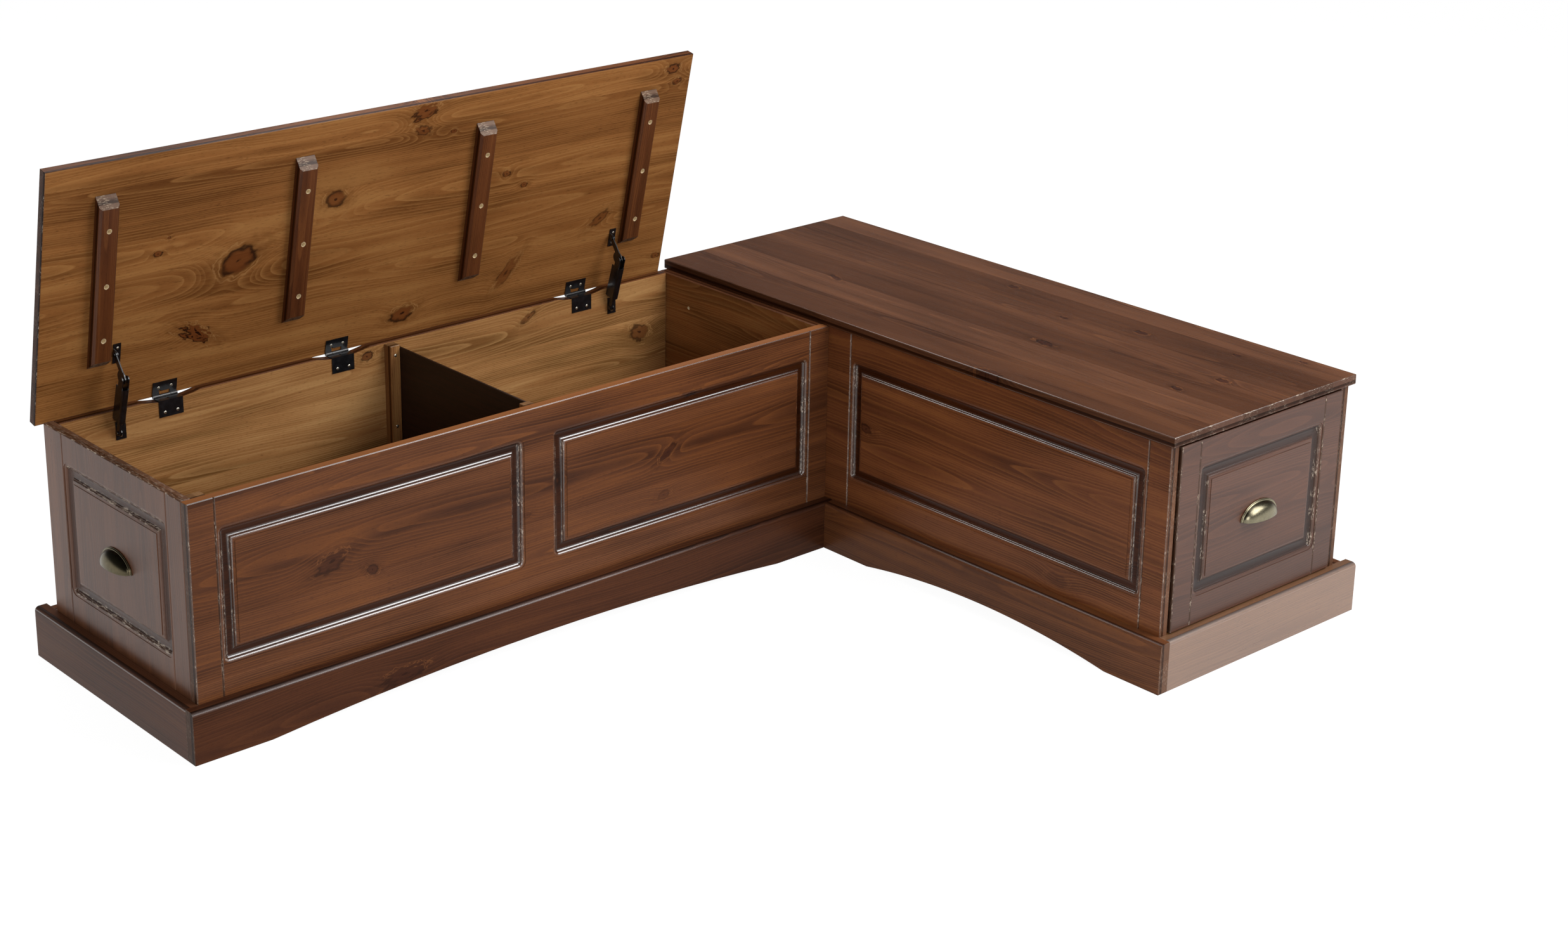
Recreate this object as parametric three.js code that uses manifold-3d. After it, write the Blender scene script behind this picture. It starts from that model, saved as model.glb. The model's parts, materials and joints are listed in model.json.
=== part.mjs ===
// Corner storage bench: a long chest with a lifting lid, and a short wing with a drawer.
// Millimetres, +Z up. Distances are measured from the inner corner of the L at floor level:
// the chest runs from there to -X, the drawer wing comes forward from there to -Y.

import * as THREE from 'three';
import { mergeVertices } from 'three/addons/utils/BufferGeometryUtils.js';
import Module from 'manifold-3d';

const wasm = await Module();
wasm.setup();

// Driving sizes of the two boxes
const chestLength = 1330.4;
const chestDepth = 453.4;
const wingReach = 790.7;
const wingWidth = 465.1;
const boxHeight = 421.7;
const panelThickness = 18.8;
const topThickness = 18.3;
const baseBoardThickness = 12;
const panelFootClearance = 30;
const edgeEase = 1.4;

// Plinths and the plain rails on the wall sides
const plinthHeight = 89.3;
const plinthThickness = 22.2;
const plinthRound = 8;
const skirtingClearance = 36.2;
const archRise = 24.2;
const frontArchStart = 116;
const frontArchEnd = 136;
const sideArchStart = 134;
const sideArchEnd = 92.3;

// Overhangs of the seat boards
const seatInnerOverhang = 3.5;
const seatOuterOverhang = 9.4;
const seatEndOverhang = 6.7;
const seatBackOverhang = 5.3;
const seatRound = 2.2;
const lidEndOverhang = 13.4;
const lidFrontOverhang = 3;
const lidRearOverhang = 2.2;
const lidEndGap = 1.4;
const lidCloseGap = 0.4;
const lidOpenAngle = THREE.MathUtils.degToRad(77.3);

// Routed fields and grooves that divide each face into stiles and panels
const stileWidth = 47;
const mullionWidth = 59;
const endRearStile = 59.4;
const wingCornerStile = 57;
const wingEndStile = 45.6;
const grooveWidth = 4;
const grooveDepth = 2.6;
const fieldBottom = 140.5;
const fieldTopMargin = 48.2;
const mouldingWidth = 31;
const mouldingDepth = 7.2;
const mouldingCorner = 13;

// Lid battens
const battenWidth = 36;
const battenThickness = 18;
const battenNearEnd = 84;
const battenLength = 315;
const battenFirst = 107.8;
const battenLast = 98.9;
const battenCount = 4;
const battenChamfer = 4;
const battenHoleRadius = 4.2;
const battenHoleDepth = 10;
const battenHoleSpacing = 100;
const battenHoleCount = 3;

// Chest divider and corner block
const dividerBattenLeft = 674.5;
const dividerBattenWidth = 20;
const dividerBattenDepth = 20.5;
const dividerSheetThickness = 4;
const dividerTopDrop = 7.5;
const blockTopDrop = 2.5;
const blockWidth = 28.5;
const blockDepth = 23;
const pegHoleRadius = 3.2;
const pegHoleDepth = 9;
const pegHoleFromBack = 85.4;
const pegHoleDrop = 55.2;

// Butt hinges with a cranked box leaf
const hingeWidth = 46;
const leafThickness = 1.6;
const knuckleRadius = 3.1;
const knuckleGap = 0.4;
const middleKnuckleShare = 0.42;
const hingePinRadius = 1.3;
const hingePinClearance = 0.2;
const lidLeafReach = 26;
const lidLeafSlot = 5.5;
const boxLeafDrop = 29.5;
const leafHoleRadius = 2.1;
const leafHoleSpacing = 24;
const lidHoleReach = 15;
const spareHoleReach = 9;
const boxHoleDrop = 21.5;
const flangeHoleReach = 10;
const hingeNotchLength = 119;
const firstHingeInset = 238.3;
const lastHingeInset = 207.6;
const hingeBesideDivider = 87.5;

// Sprung lid stays: a parallel linkage of lid, arm, housing and box bracket
const stayPinReach = 106;
const stayPinStandoff = 11;
const boxPinStandoff = 6.4;
const stayArmDrop = 36.4;
const armThickness = 2;
const armEndRadius = 5.5;
const armNeckShare = 0.8;
const camRadius = 12;
const camOffsetBack = 8;
const camOffsetUp = 2;
const stayPinRadius = 2;
const stayPinClearance = 0.35;
const pinHeadRadius = 3.4;
const pinHeadThickness = 1.2;
const housingWidth = 13;
const housingFront = 10;
const housingBack = 12.5;
const housingStart = 24;
const housingEnd = 91;
const housingWall = 1.8;
const housingFloor = 82;
const housingRound = 4;
const housingEarRadius = 6.5;
const tongueThickness = 4;
const bracketThickness = 1.8;
const bracketWidth = 19;
const bracketAbovePin = 18;
const bracketBelowPin = 14;
const earThickness = 1.6;
const earSideGap = 0.4;
const earRadius = 6;
const lidPlateWidth = 14;
const lidPlateLength = 36;
const lidPlateLead = 14;
const stayBesideFirstBatten = 2.5;
const stayBesideLastBatten = 19.5;

// Drawer and its runners
const drawerGap = 3;
const drawerProud = 4.7;
const drawerFrontLift = 2;
const drawerFrontTopGap = 4;
const drawerWallThickness = 12;
const drawerSideGap = 3.5;
const drawerBoxTopGap = 54.1;
const drawerBoxLength = 640;
const drawerPanelThickness = 6;
const drawerPanelLift = 10;
const drawerGrooveDepth = 5;
const drawerGrooveGap = 0.3;
const runnerWidth = 22;
const runnerHeight = 28;
const runnerBehindDrawer = 60;

// Cup pulls
const pullWidth = 87;
const pullHeight = 27;
const pullReach = 19.5;
const pullWall = 1.8;
const pullRim = 3.5;
const pullRimThickness = 2;
const pullBossRadius = 3.5;
const pullBossSpacing = 56;
const pullBossLift = 9;
const drawerPullHeight = 243;
const endPullHeight = 243;
const endPullPlace = 231;

// Working clearances shared by all cuts and seats
const overrun = 5;
const seatGap = 0.3;
const glueLine = 0.04;
const mergeDistance = 1e-4;

// Facet counts
const roundSteps = 16;
const seatRoundSteps = 3;
const mouldingSteps = 4;
const mouldingCornerSteps = 4;
const notchSteps = 14;
const archSteps = 28;
const plinthRoundSteps = 5;
const pullAroundSteps = 32;
const pullUpSteps = 20;
const pullPlateSteps = 20;
const housingRoundSteps = 5;

// Finishes
function finish(color, roughness, metalness) {
  return new THREE.MeshStandardMaterial({ color, roughness, metalness });
}

const stainedPine = finish(0x5c3826, 0.38, 0);
const insidePine = finish(0x8a6038, 0.55, 0);
const darkPine = finish(0x3a241a, 0.5, 0);
const dividerSheet = finish(0x1d1310, 0.6, 0);
const drawerPine = finish(0xa97e4f, 0.6, 0);
const blackSteel = finish(0x101012, 0.3, 0.9);
const hingePinSteel = finish(0x2a2a2c, 0.35, 0.9);
const pewter = finish(0x8d8672, 0.35, 0.95);

// Places worked out from the driving sizes
const chestLeft = -chestLength;
const frontInside = panelThickness;
const backInside = chestDepth - panelThickness;
const leftInside = chestLeft + panelThickness;
const rightInside = -panelThickness;
const wingFront = -wingReach;
const wingInside = panelThickness;
const wingOutside = wingWidth - panelThickness;
const floorLevel = plinthHeight;
const fieldTop = boxHeight - fieldTopMargin;

const bench = new THREE.Group();

// Adds a named mesh to a group
function add(group, name, geometry, material) {
  const mesh = new THREE.Mesh(geometry, material);
  mesh.name = name;
  group.add(mesh);
  return mesh;
}

// A plain square board between limits on each axis, half a glue line short of each limit
function board([x0, x1], [y0, y1], [z0, z1]) {
  const geometry = new THREE.BoxGeometry(x1 - x0 - glueLine, y1 - y0 - glueLine, z1 - z0 - glueLine);
  return geometry.translate((x0 + x1) / 2, (y0 + y1) / 2, (z0 + z1) / 2);
}

// Turns an extrusion so that it runs along X or Y instead of Z
function alongAxis(geometry, axis) {
  const x = new THREE.Vector3(1, 0, 0);
  const y = new THREE.Vector3(0, 1, 0);
  const z = new THREE.Vector3(0, 0, 1);
  const turn = new THREE.Matrix4();
  if (axis === 'x') turn.makeBasis(y, z, x);
  if (axis === 'y') turn.makeBasis(z, x, y);
  return geometry.applyMatrix4(turn);
}

// An outline in the two other axes, extruded from one limit to the other along an axis:
// the outline's points are (y, z) along X, (z, x) along Y and (x, y) along Z
function prism(points, axis, [low, high]) {
  const outline = new THREE.Shape(points.map(([u, v]) => new THREE.Vector2(u, v)));
  const geometry = new THREE.ExtrudeGeometry(outline, { depth: high - low, bevelEnabled: false });
  return alongAxis(geometry.translate(0, 0, low), axis);
}

// A board whose two broad faces, square to the given axis, have eased or rounded edges
function easedBoard(axis, xs, ys, zs, ease = edgeEase, steps = 1) {
  const spans = { x: [ys, zs, xs], y: [zs, xs, ys], z: [xs, ys, zs] };
  const inset = ([low, high]) => [low + glueLine / 2, high - glueLine / 2];
  const [[u0, u1], [v0, v1], [w0, w1]] = spans[axis].map(inset);
  const outline = new THREE.Shape();
  outline.moveTo(u0 + ease, v0 + ease);
  outline.lineTo(u1 - ease, v0 + ease);
  outline.lineTo(u1 - ease, v1 - ease);
  outline.lineTo(u0 + ease, v1 - ease);
  const geometry = new THREE.ExtrudeGeometry(outline, {
    depth: w1 - w0 - 2 * ease, bevelThickness: ease, bevelSize: ease, bevelSegments: steps,
  });
  return alongAxis(geometry.translate(0, 0, w0 + ease), axis);
}

// A rod along X between two limits, about a centre in Y and Z
function rodX([x0, x1], y, z, radius, sides = roundSteps) {
  const geometry = new THREE.CylinderGeometry(radius, radius, x1 - x0, sides);
  return geometry.rotateZ(Math.PI / 2).translate((x0 + x1) / 2, y, z);
}

// Solid booleans
function toSolid(geometry) {
  const bare = geometry.clone();
  bare.deleteAttribute('normal');
  bare.deleteAttribute('uv');
  const merged = mergeVertices(bare, mergeDistance);
  const index = merged.getIndex().array;
  const kept = [];
  for (let i = 0; i < index.length; i += 3) {
    const [a, b, c] = [index[i], index[i + 1], index[i + 2]];
    if (a !== b && b !== c && c !== a) kept.push(a, b, c);
  }
  return new wasm.Manifold(new wasm.Mesh({
    numProp: 3,
    vertProperties: new Float32Array(merged.getAttribute('position').array),
    triVerts: new Uint32Array(kept),
  }));
}

function toGeometry(solid) {
  const mesh = solid.getMesh();
  const geometry = new THREE.BufferGeometry();
  geometry.setAttribute('position', new THREE.BufferAttribute(mesh.vertProperties, 3));
  geometry.setIndex(new THREE.BufferAttribute(mesh.triVerts, 1));
  geometry.computeVertexNormals();
  return geometry;
}

function cut(body, ...tools) {
  const rest = tools.reduce((solid, tool) => solid.subtract(toSolid(tool)), toSolid(body));
  return toGeometry(rest);
}

function join(body, ...others) {
  const whole = others.reduce((solid, other) => solid.add(toSolid(other)), toSolid(body));
  return toGeometry(whole);
}

// The moulding's section from either edge to its middle, as shares of half its width and of
// its depth: a quirk, a quarter round, a narrow flat and a cove
function mouldingFlank() {
  const quirkShare = 0.12;
  const roundShare = 0.42;
  const flatShare = 0.5;
  const stepShare = 0.55;
  const points = [[0, quirkShare]];
  for (let i = 1; i <= mouldingSteps; i++) {
    const a = (i / mouldingSteps) * Math.PI / 2;
    points.push([roundShare * Math.sin(a), quirkShare + (stepShare - quirkShare) * (1 - Math.cos(a))]);
  }
  points.push([flatShare, stepShare]);
  for (let i = 1; i <= mouldingSteps; i++) {
    const a = (i / mouldingSteps) * Math.PI / 2;
    points.push([flatShare + (1 - flatShare) * (1 - Math.cos(a)), stepShare + (1 - stepShare) * Math.sin(a)]);
  }
  return points;
}

// The whole section from the outer edge in: both flanks meet in the middle
function mouldingSection() {
  const half = mouldingWidth / 2;
  const outer = mouldingFlank().map(([s, d]) => [s * half, d * mouldingDepth]);
  const inner = outer.slice(0, -1).reverse().map(([s, d]) => [mouldingWidth - s, d]);
  return [...outer, ...inner];
}

// One turn of the moulding's path at a distance inside the field's outer edge
function mouldingLoop(width, height, inset) {
  const radius = Math.max(0, mouldingCorner - inset);
  const halfU = width / 2 - inset - radius;
  const halfV = height / 2 - inset - radius;
  const loop = [];
  const corners = [[1, -1, -1], [1, 1, 0], [-1, 1, 1], [-1, -1, 2]];
  for (const [su, sv, quarter] of corners) {
    for (let i = 0; i <= mouldingCornerSteps; i++) {
      const a = (quarter + i / mouldingCornerSteps) * Math.PI / 2;
      loop.push([su * halfU + radius * Math.cos(a), sv * halfV + radius * Math.sin(a)]);
    }
  }
  return loop;
}

// The ring of wood that the router takes away round a field: u and v lie in the face,
// and w points out of it from the face's plane
function mouldingRing(width, height) {
  const section = [[0, -overrun], ...mouldingSection(), [mouldingWidth, -overrun]];
  const loops = section.map(([inset]) => mouldingLoop(width, height, inset));
  const around = loops[0].length;
  const positions = [];
  section.forEach(([, depth], i) => loops[i].forEach(([u, v]) => positions.push(u, v, -depth)));
  const index = [];
  for (let i = 0; i < section.length; i++) {
    const next = (i + 1) % section.length;
    for (let j = 0; j < around; j++) {
      const ahead = (j + 1) % around;
      const [a, b] = [i * around + j, i * around + ahead];
      const [c, d] = [next * around + j, next * around + ahead];
      index.push(a, c, b, b, c, d);
    }
  }
  const geometry = new THREE.BufferGeometry();
  geometry.setAttribute('position', new THREE.Float32BufferAttribute(positions, 3));
  geometry.setIndex(index);
  return geometry;
}

// Field cutters on the three kinds of face: u runs along the face, v is up
const upward = new THREE.Vector3(0, 0, 1);

function fieldOnFront([x0, x1], faceY) {
  const [along, outward] = [new THREE.Vector3(1, 0, 0), new THREE.Vector3(0, -1, 0)];
  const turn = new THREE.Matrix4().makeBasis(along, upward, outward);
  const ring = mouldingRing(x1 - x0, fieldTop - fieldBottom).applyMatrix4(turn);
  return ring.translate((x0 + x1) / 2, faceY, (fieldBottom + fieldTop) / 2);
}

function fieldOnLeft([y0, y1], faceX) {
  const [along, outward] = [new THREE.Vector3(0, -1, 0), new THREE.Vector3(-1, 0, 0)];
  const turn = new THREE.Matrix4().makeBasis(along, upward, outward);
  const ring = mouldingRing(y1 - y0, fieldTop - fieldBottom).applyMatrix4(turn);
  return ring.translate(faceX, (y0 + y1) / 2, (fieldBottom + fieldTop) / 2);
}

// Upright V grooves: an arrow-shaped prism whose tip reaches the groove's depth
function grooveSection(along, face, outward) {
  const half = grooveWidth / 2;
  const reach = half * (grooveDepth + overrun) / grooveDepth;
  const far = face + outward * overrun;
  const tip = face - outward * grooveDepth;
  return { low: [along - reach, far], high: [along + reach, far], tip: [along, tip] };
}

function grooveOnFront(x, faceY, [z0, z1]) {
  const { low, high, tip } = grooveSection(x, faceY, -1);
  return prism([low, high, tip], 'z', [z0 - overrun, z1 + overrun]);
}

function grooveOnLeft(y, faceX, [z0, z1]) {
  const { low, high, tip } = grooveSection(y, faceX, -1);
  const points = [low, tip, high].map(([along, across]) => [across, along]);
  return prism(points, 'z', [z0 - overrun, z1 + overrun]);
}

// Chest panels
const wallSpan = [panelFootClearance, boxHeight];

function chestFrontPanel() {
  const fieldEdge = stileWidth + grooveWidth / 2;
  const middle = -chestLength / 2;
  const panel = easedBoard('y', [chestLeft, 0], [0, panelThickness], wallSpan);
  return cut(
    panel,
    fieldOnFront([chestLeft + fieldEdge, middle - mullionWidth / 2], 0),
    fieldOnFront([middle + mullionWidth / 2, -fieldEdge], 0),
    grooveOnFront(chestLeft + stileWidth, 0, wallSpan),
    grooveOnFront(-stileWidth, 0, wallSpan),
  );
}

function chestLeftEndPanel() {
  const front = frontInside + stileWidth;
  const rear = chestDepth - endRearStile;
  const half = grooveWidth / 2;
  const panel = easedBoard('x', [chestLeft, leftInside], [frontInside, chestDepth], wallSpan);
  return cut(
    panel,
    fieldOnLeft([front + half, rear - half], chestLeft),
    grooveOnLeft(front, chestLeft, wallSpan),
    grooveOnLeft(rear, chestLeft, wallSpan),
  );
}

// The right end panel has one blind peg hole, which faces into the chest
function chestRightEndPanel() {
  const panel = easedBoard('x', [rightInside, 0], [frontInside, chestDepth], wallSpan);
  const span = [rightInside - overrun, rightInside + pegHoleDepth];
  return cut(panel, rodX(span, chestDepth - pegHoleFromBack, boxHeight - pegHoleDrop, pegHoleRadius));
}

// Hinge places along the chest, and the depth of the notch that lets each hinge in
const lidLeft = chestLeft - lidEndOverhang;
const lidRight = rightInside - lidEndGap;
const hingePlaces = [
  lidLeft + firstHingeInset,
  -dividerBattenLeft - hingeBesideDivider,
  lidRight - lastHingeInset,
];
const hingeAxisY = chestDepth;
const hingeAxisZ = boxHeight + lidCloseGap - seatGap - knuckleRadius;
const flangeUnderside = hingeAxisZ - knuckleRadius;
const notchAtLeafEdge = boxHeight - flangeUnderside + seatGap / 2;
const notchDepth = notchAtLeafEdge / (1 - (hingeWidth / hingeNotchLength) ** 2);

function hingeNotch(x) {
  const half = hingeNotchLength / 2;
  const radius = (half ** 2 + notchDepth ** 2) / (2 * notchDepth);
  const sweep = Math.asin(half / radius);
  const points = [[boxHeight + overrun, x - half], [boxHeight + overrun, x + half]];
  for (let i = 0; i <= notchSteps; i++) {
    const a = sweep * (1 - 2 * i / notchSteps);
    points.push([boxHeight - notchDepth + radius * (1 - Math.cos(a)), x + radius * Math.sin(a)]);
  }
  return prism(points, 'y', [backInside - overrun, chestDepth + overrun]);
}

function chestBackPanel() {
  const panel = easedBoard('y', [leftInside, rightInside], [backInside, chestDepth], wallSpan);
  return cut(panel, ...hingePlaces.map(hingeNotch));
}

// Places the fixed boards of the chest
function buildChest() {
  const across = [leftInside, rightInside];
  const deep = [frontInside, backInside];
  const bottomSpan = [floorLevel - baseBoardThickness, floorLevel];
  add(bench, 'chest_front_panel', chestFrontPanel(), stainedPine);
  add(bench, 'chest_left_end_panel', chestLeftEndPanel(), stainedPine);
  add(bench, 'chest_right_end_panel', chestRightEndPanel(), insidePine);
  add(bench, 'chest_back_panel', chestBackPanel(), insidePine);
  add(bench, 'chest_bottom_board', board(across, deep, bottomSpan), insidePine);
  buildDivider();
  buildCornerBlock();
}

function buildDivider() {
  const left = -dividerBattenLeft;
  const right = left + dividerBattenWidth;
  const upright = [floorLevel, boxHeight - blockTopDrop];
  const sheetSpan = [floorLevel, boxHeight - dividerTopDrop];
  const back = board([left, right], [backInside - dividerBattenDepth, backInside], upright);
  const front = board([left, right], [frontInside, frontInside + dividerBattenDepth], upright);
  const sheet = board([right, right + dividerSheetThickness], [frontInside, backInside], sheetSpan);
  add(bench, 'divider_back_batten', back, darkPine);
  add(bench, 'divider_front_batten', front, darkPine);
  add(bench, 'divider_sheet', sheet, dividerSheet);
}

// The one block that shows, glued into the corner of the front and the left end panel
function buildCornerBlock() {
  const across = [leftInside, leftInside + blockWidth];
  const deep = [frontInside, frontInside + blockDepth];
  const block = board(across, deep, [floorLevel, boxHeight - blockTopDrop]);
  add(bench, 'corner_block_front_left', block, insidePine);
}

// A plinth's section, with the round on its top outer edge: (across, up)
function plinthSection(inner, outer) {
  const outward = Math.sign(outer - inner);
  const points = [[inner, 0], [outer, 0]];
  for (let i = 0; i <= plinthRoundSteps; i++) {
    const a = (i / plinthRoundSteps) * Math.PI / 2;
    const across = outer - outward * plinthRound * (1 - Math.cos(a));
    points.push([across, plinthHeight - plinthRound * (1 - Math.sin(a))]);
  }
  points.push([inner, plinthHeight]);
  return points;
}

// The low arch cut under a plinth, as (along, up) points
function archOutline(start, end) {
  const half = (end - start) / 2;
  const radius = (half ** 2 + archRise ** 2) / (2 * archRise);
  const sweep = Math.asin(half / radius);
  const points = [[start, -overrun], [end, -overrun]];
  for (let i = 0; i <= archSteps; i++) {
    const a = sweep * (1 - 2 * i / archSteps);
    points.push([(start + end) / 2 + radius * Math.sin(a), archRise - radius * (1 - Math.cos(a))]);
  }
  return points;
}

function frontPlinth() {
  const rail = prism(plinthSection(0, -plinthThickness), 'x', [chestLeft - plinthThickness, 0]);
  const arch = archOutline(chestLeft + frontArchStart, -frontArchEnd).map(([x, z]) => [z, x]);
  return cut(rail, prism(arch, 'y', [-plinthThickness - overrun, overrun]));
}

function sidePlinth() {
  const section = plinthSection(0, -plinthThickness).map(([x, z]) => [z, x]);
  const rail = prism(section, 'y', [wingFront - plinthThickness, -plinthThickness]);
  const arch = archOutline(wingFront + sideArchEnd, -sideArchStart);
  return cut(rail, prism(arch, 'x', [-plinthThickness - overrun, overrun]));
}

function buildPlinths() {
  const rearReach = chestDepth + skirtingClearance;
  const outerReach = wingWidth + skirtingClearance;
  const endSection = plinthSection(chestLeft, chestLeft - plinthThickness).map(([x, z]) => [z, x]);
  const low = [0, plinthHeight];
  const behindWing = [wingFront, chestDepth];
  add(bench, 'front_plinth', frontPlinth(), stainedPine);
  add(bench, 'side_plinth', sidePlinth(), stainedPine);
  add(bench, 'left_end_plinth', prism(endSection, 'y', [0, rearReach]), stainedPine);
  const drawerEnd = prism(plinthSection(wingFront, wingFront - plinthThickness), 'x', [0, outerReach]);
  add(bench, 'drawer_end_plinth', drawerEnd, stainedPine);
  const backSpan = [chestDepth, chestDepth + plinthThickness];
  const backRail = board([chestLeft, wingWidth + plinthThickness], backSpan, low);
  add(bench, 'back_base_rail', backRail, stainedPine);
  const outerRail = board([wingWidth, wingWidth + plinthThickness], behindWing, low);
  add(bench, 'outer_base_rail', outerRail, stainedPine);
}

// The drawer wing's case
function wingInnerPanel() {
  const front = wingFront + wingEndStile;
  const rear = -wingCornerStile;
  const half = grooveWidth / 2;
  const panel = easedBoard('x', [0, wingInside], [wingFront, chestDepth], wallSpan);
  return cut(
    panel,
    fieldOnLeft([front + half, rear - half], 0),
    grooveOnLeft(front, 0, wallSpan),
    grooveOnLeft(rear, 0, wallSpan),
  );
}

function buildWing() {
  const across = [wingInside, wingOutside];
  const seatAcross = [-seatInnerOverhang, wingWidth + seatOuterOverhang];
  const seatDeep = [wingFront - seatEndOverhang, chestDepth + seatBackOverhang];
  const seatSpan = [boxHeight, boxHeight + topThickness];
  const outer = easedBoard('x', [wingOutside, wingWidth], [wingFront, chestDepth], wallSpan);
  const bottom = board(across, [wingFront, backInside], [floorLevel - baseBoardThickness, floorLevel]);
  add(bench, 'wing_inner_panel', wingInnerPanel(), stainedPine);
  add(bench, 'wing_outer_panel', outer, stainedPine);
  add(bench, 'wing_back_panel', easedBoard('y', across, [backInside, chestDepth], wallSpan), stainedPine);
  add(bench, 'wing_bottom_board', bottom, insidePine);
  const seat = easedBoard('z', seatAcross, seatDeep, seatSpan, seatRound, seatRoundSteps);
  add(bench, 'wing_seat_board', seat, stainedPine);
  buildRunners();
}

function buildRunners() {
  const drawerRear = wingFront + panelThickness - drawerProud + drawerBoxLength;
  const along = [wingFront + panelThickness, drawerRear + runnerBehindDrawer];
  const upright = [floorLevel, floorLevel + runnerHeight];
  const left = board([wingInside, wingInside + runnerWidth], along, upright);
  const right = board([wingOutside - runnerWidth, wingOutside], along, upright);
  add(bench, 'drawer_runner_left', left, insidePine);
  add(bench, 'drawer_runner_right', right, insidePine);
}

// A cup pull that faces -Y: its plate's back lies on y = 0 and its open underside on z = 0
function ellipsoid(halfWidth, reach, height) {
  const ball = new THREE.SphereGeometry(1, pullAroundSteps, pullUpSteps);
  return ball.rotateX(Math.PI / 2).scale(halfWidth, reach, height);
}

function pullPlate(halfWidth, height) {
  const outline = new THREE.Shape();
  outline.absellipse(0, 0, halfWidth, height, 0, Math.PI);
  const geometry = new THREE.ExtrudeGeometry(outline, {
    depth: pullRimThickness, bevelEnabled: false, curveSegments: pullPlateSteps,
  });
  return geometry.rotateX(Math.PI / 2);
}

function cupPull() {
  const half = pullWidth / 2;
  const clear = overrun + half + pullRim;
  const midWall = pullWall / 2;
  const quarter = board([-clear, clear], [-clear, 0], [0, clear]);
  const outer = toSolid(ellipsoid(half, pullReach, pullHeight)).intersect(toSolid(quarter));
  const rim = toSolid(pullPlate(half + pullRim, pullHeight + pullRim));
  const hollow = toSolid(ellipsoid(half - pullWall, pullReach - pullWall, pullHeight - pullWall));
  const within = toSolid(ellipsoid(half - midWall, pullReach - midWall, pullHeight - midWall));
  let shell = outer.add(rim).subtract(hollow);
  for (const side of [-1, 1]) {
    const boss = new THREE.CylinderGeometry(pullBossRadius, pullBossRadius, pullReach, roundSteps);
    boss.translate(side * pullBossSpacing / 2, -pullReach / 2, pullBossLift);
    shell = shell.add(toSolid(boss).intersect(within));
  }
  return toGeometry(shell);
}

function buildPulls() {
  const onDrawer = add(bench, 'drawer_cup_pull', cupPull(), pewter);
  onDrawer.position.set(wingWidth / 2, wingFront - drawerProud - seatGap, drawerPullHeight);
  const onEnd = add(bench, 'end_cup_pull', cupPull(), pewter);
  onEnd.position.set(chestLeft - seatGap, endPullPlace, endPullHeight);
  onEnd.rotation.z = -Math.PI / 2;
}

// The drawer, its box of thin boards behind a routed front
function drawerFront() {
  const xs = [wingInside + drawerGap, wingOutside - drawerGap];
  const face = wingFront - drawerProud;
  const zs = [floorLevel + drawerFrontLift, boxHeight - drawerFrontTopGap];
  const half = grooveWidth / 2;
  const grooves = [xs[0] + stileWidth, xs[1] - stileWidth];
  return cut(
    easedBoard('y', xs, [face, face + panelThickness], zs),
    fieldOnFront([grooves[0] + half, grooves[1] - half], face),
    ...grooves.map((x) => grooveOnFront(x, face, zs)),
  );
}

function buildDrawer() {
  const front = wingFront - drawerProud + panelThickness;
  const rear = front + drawerBoxLength;
  const left = wingInside + drawerSideGap;
  const right = wingOutside - drawerSideGap;
  const low = floorLevel + runnerHeight + seatGap;
  const upright = [low, boxHeight - drawerBoxTopGap];
  const inside = [left + drawerWallThickness, right - drawerWallThickness];
  const panelSpan = [low + drawerPanelLift, low + drawerPanelLift + drawerPanelThickness];
  const panelDeep = [front, rear - drawerWallThickness];
  const grooved = [inside[0] - drawerGrooveDepth, inside[1] + drawerGrooveDepth];
  const groove = board(
    [grooved[0], grooved[1]],
    [front - overrun, rear + overrun],
    [panelSpan[0] - drawerGrooveGap, panelSpan[1] + drawerGrooveGap],
  );
  const panelAcross = [grooved[0] + drawerGrooveGap, grooved[1] - drawerGrooveGap];
  const leftSide = cut(board([left, inside[0]], [front, rear], upright), groove);
  const rightSide = cut(board([inside[1], right], [front, rear], upright), groove);
  add(bench, 'drawer_front', drawerFront(), stainedPine);
  add(bench, 'drawer_side_left', leftSide, drawerPine);
  add(bench, 'drawer_side_right', rightSide, drawerPine);
  add(bench, 'drawer_back', board(inside, [rear - drawerWallThickness, rear], upright), drawerPine);
  add(bench, 'drawer_bottom', board(panelAcross, panelDeep, panelSpan), drawerPine);
}

// The lid hangs in a turned group whose origin is on the hinge axis: in the group the closed
// lid lies level, -Y is towards the front edge and +Z is up through the wood
const lidUnder = knuckleRadius + seatGap;
const lid = new THREE.Group();
lid.position.set(0, hingeAxisY, hingeAxisZ);
lid.rotation.x = -lidOpenAngle;
bench.add(lid);

const battenPitch = (lidRight - lidLeft - battenFirst - battenLast) / (battenCount - 1);
const battenPlaces = Array.from({ length: battenCount }, (_, i) => lidLeft + battenFirst + i * battenPitch);

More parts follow.
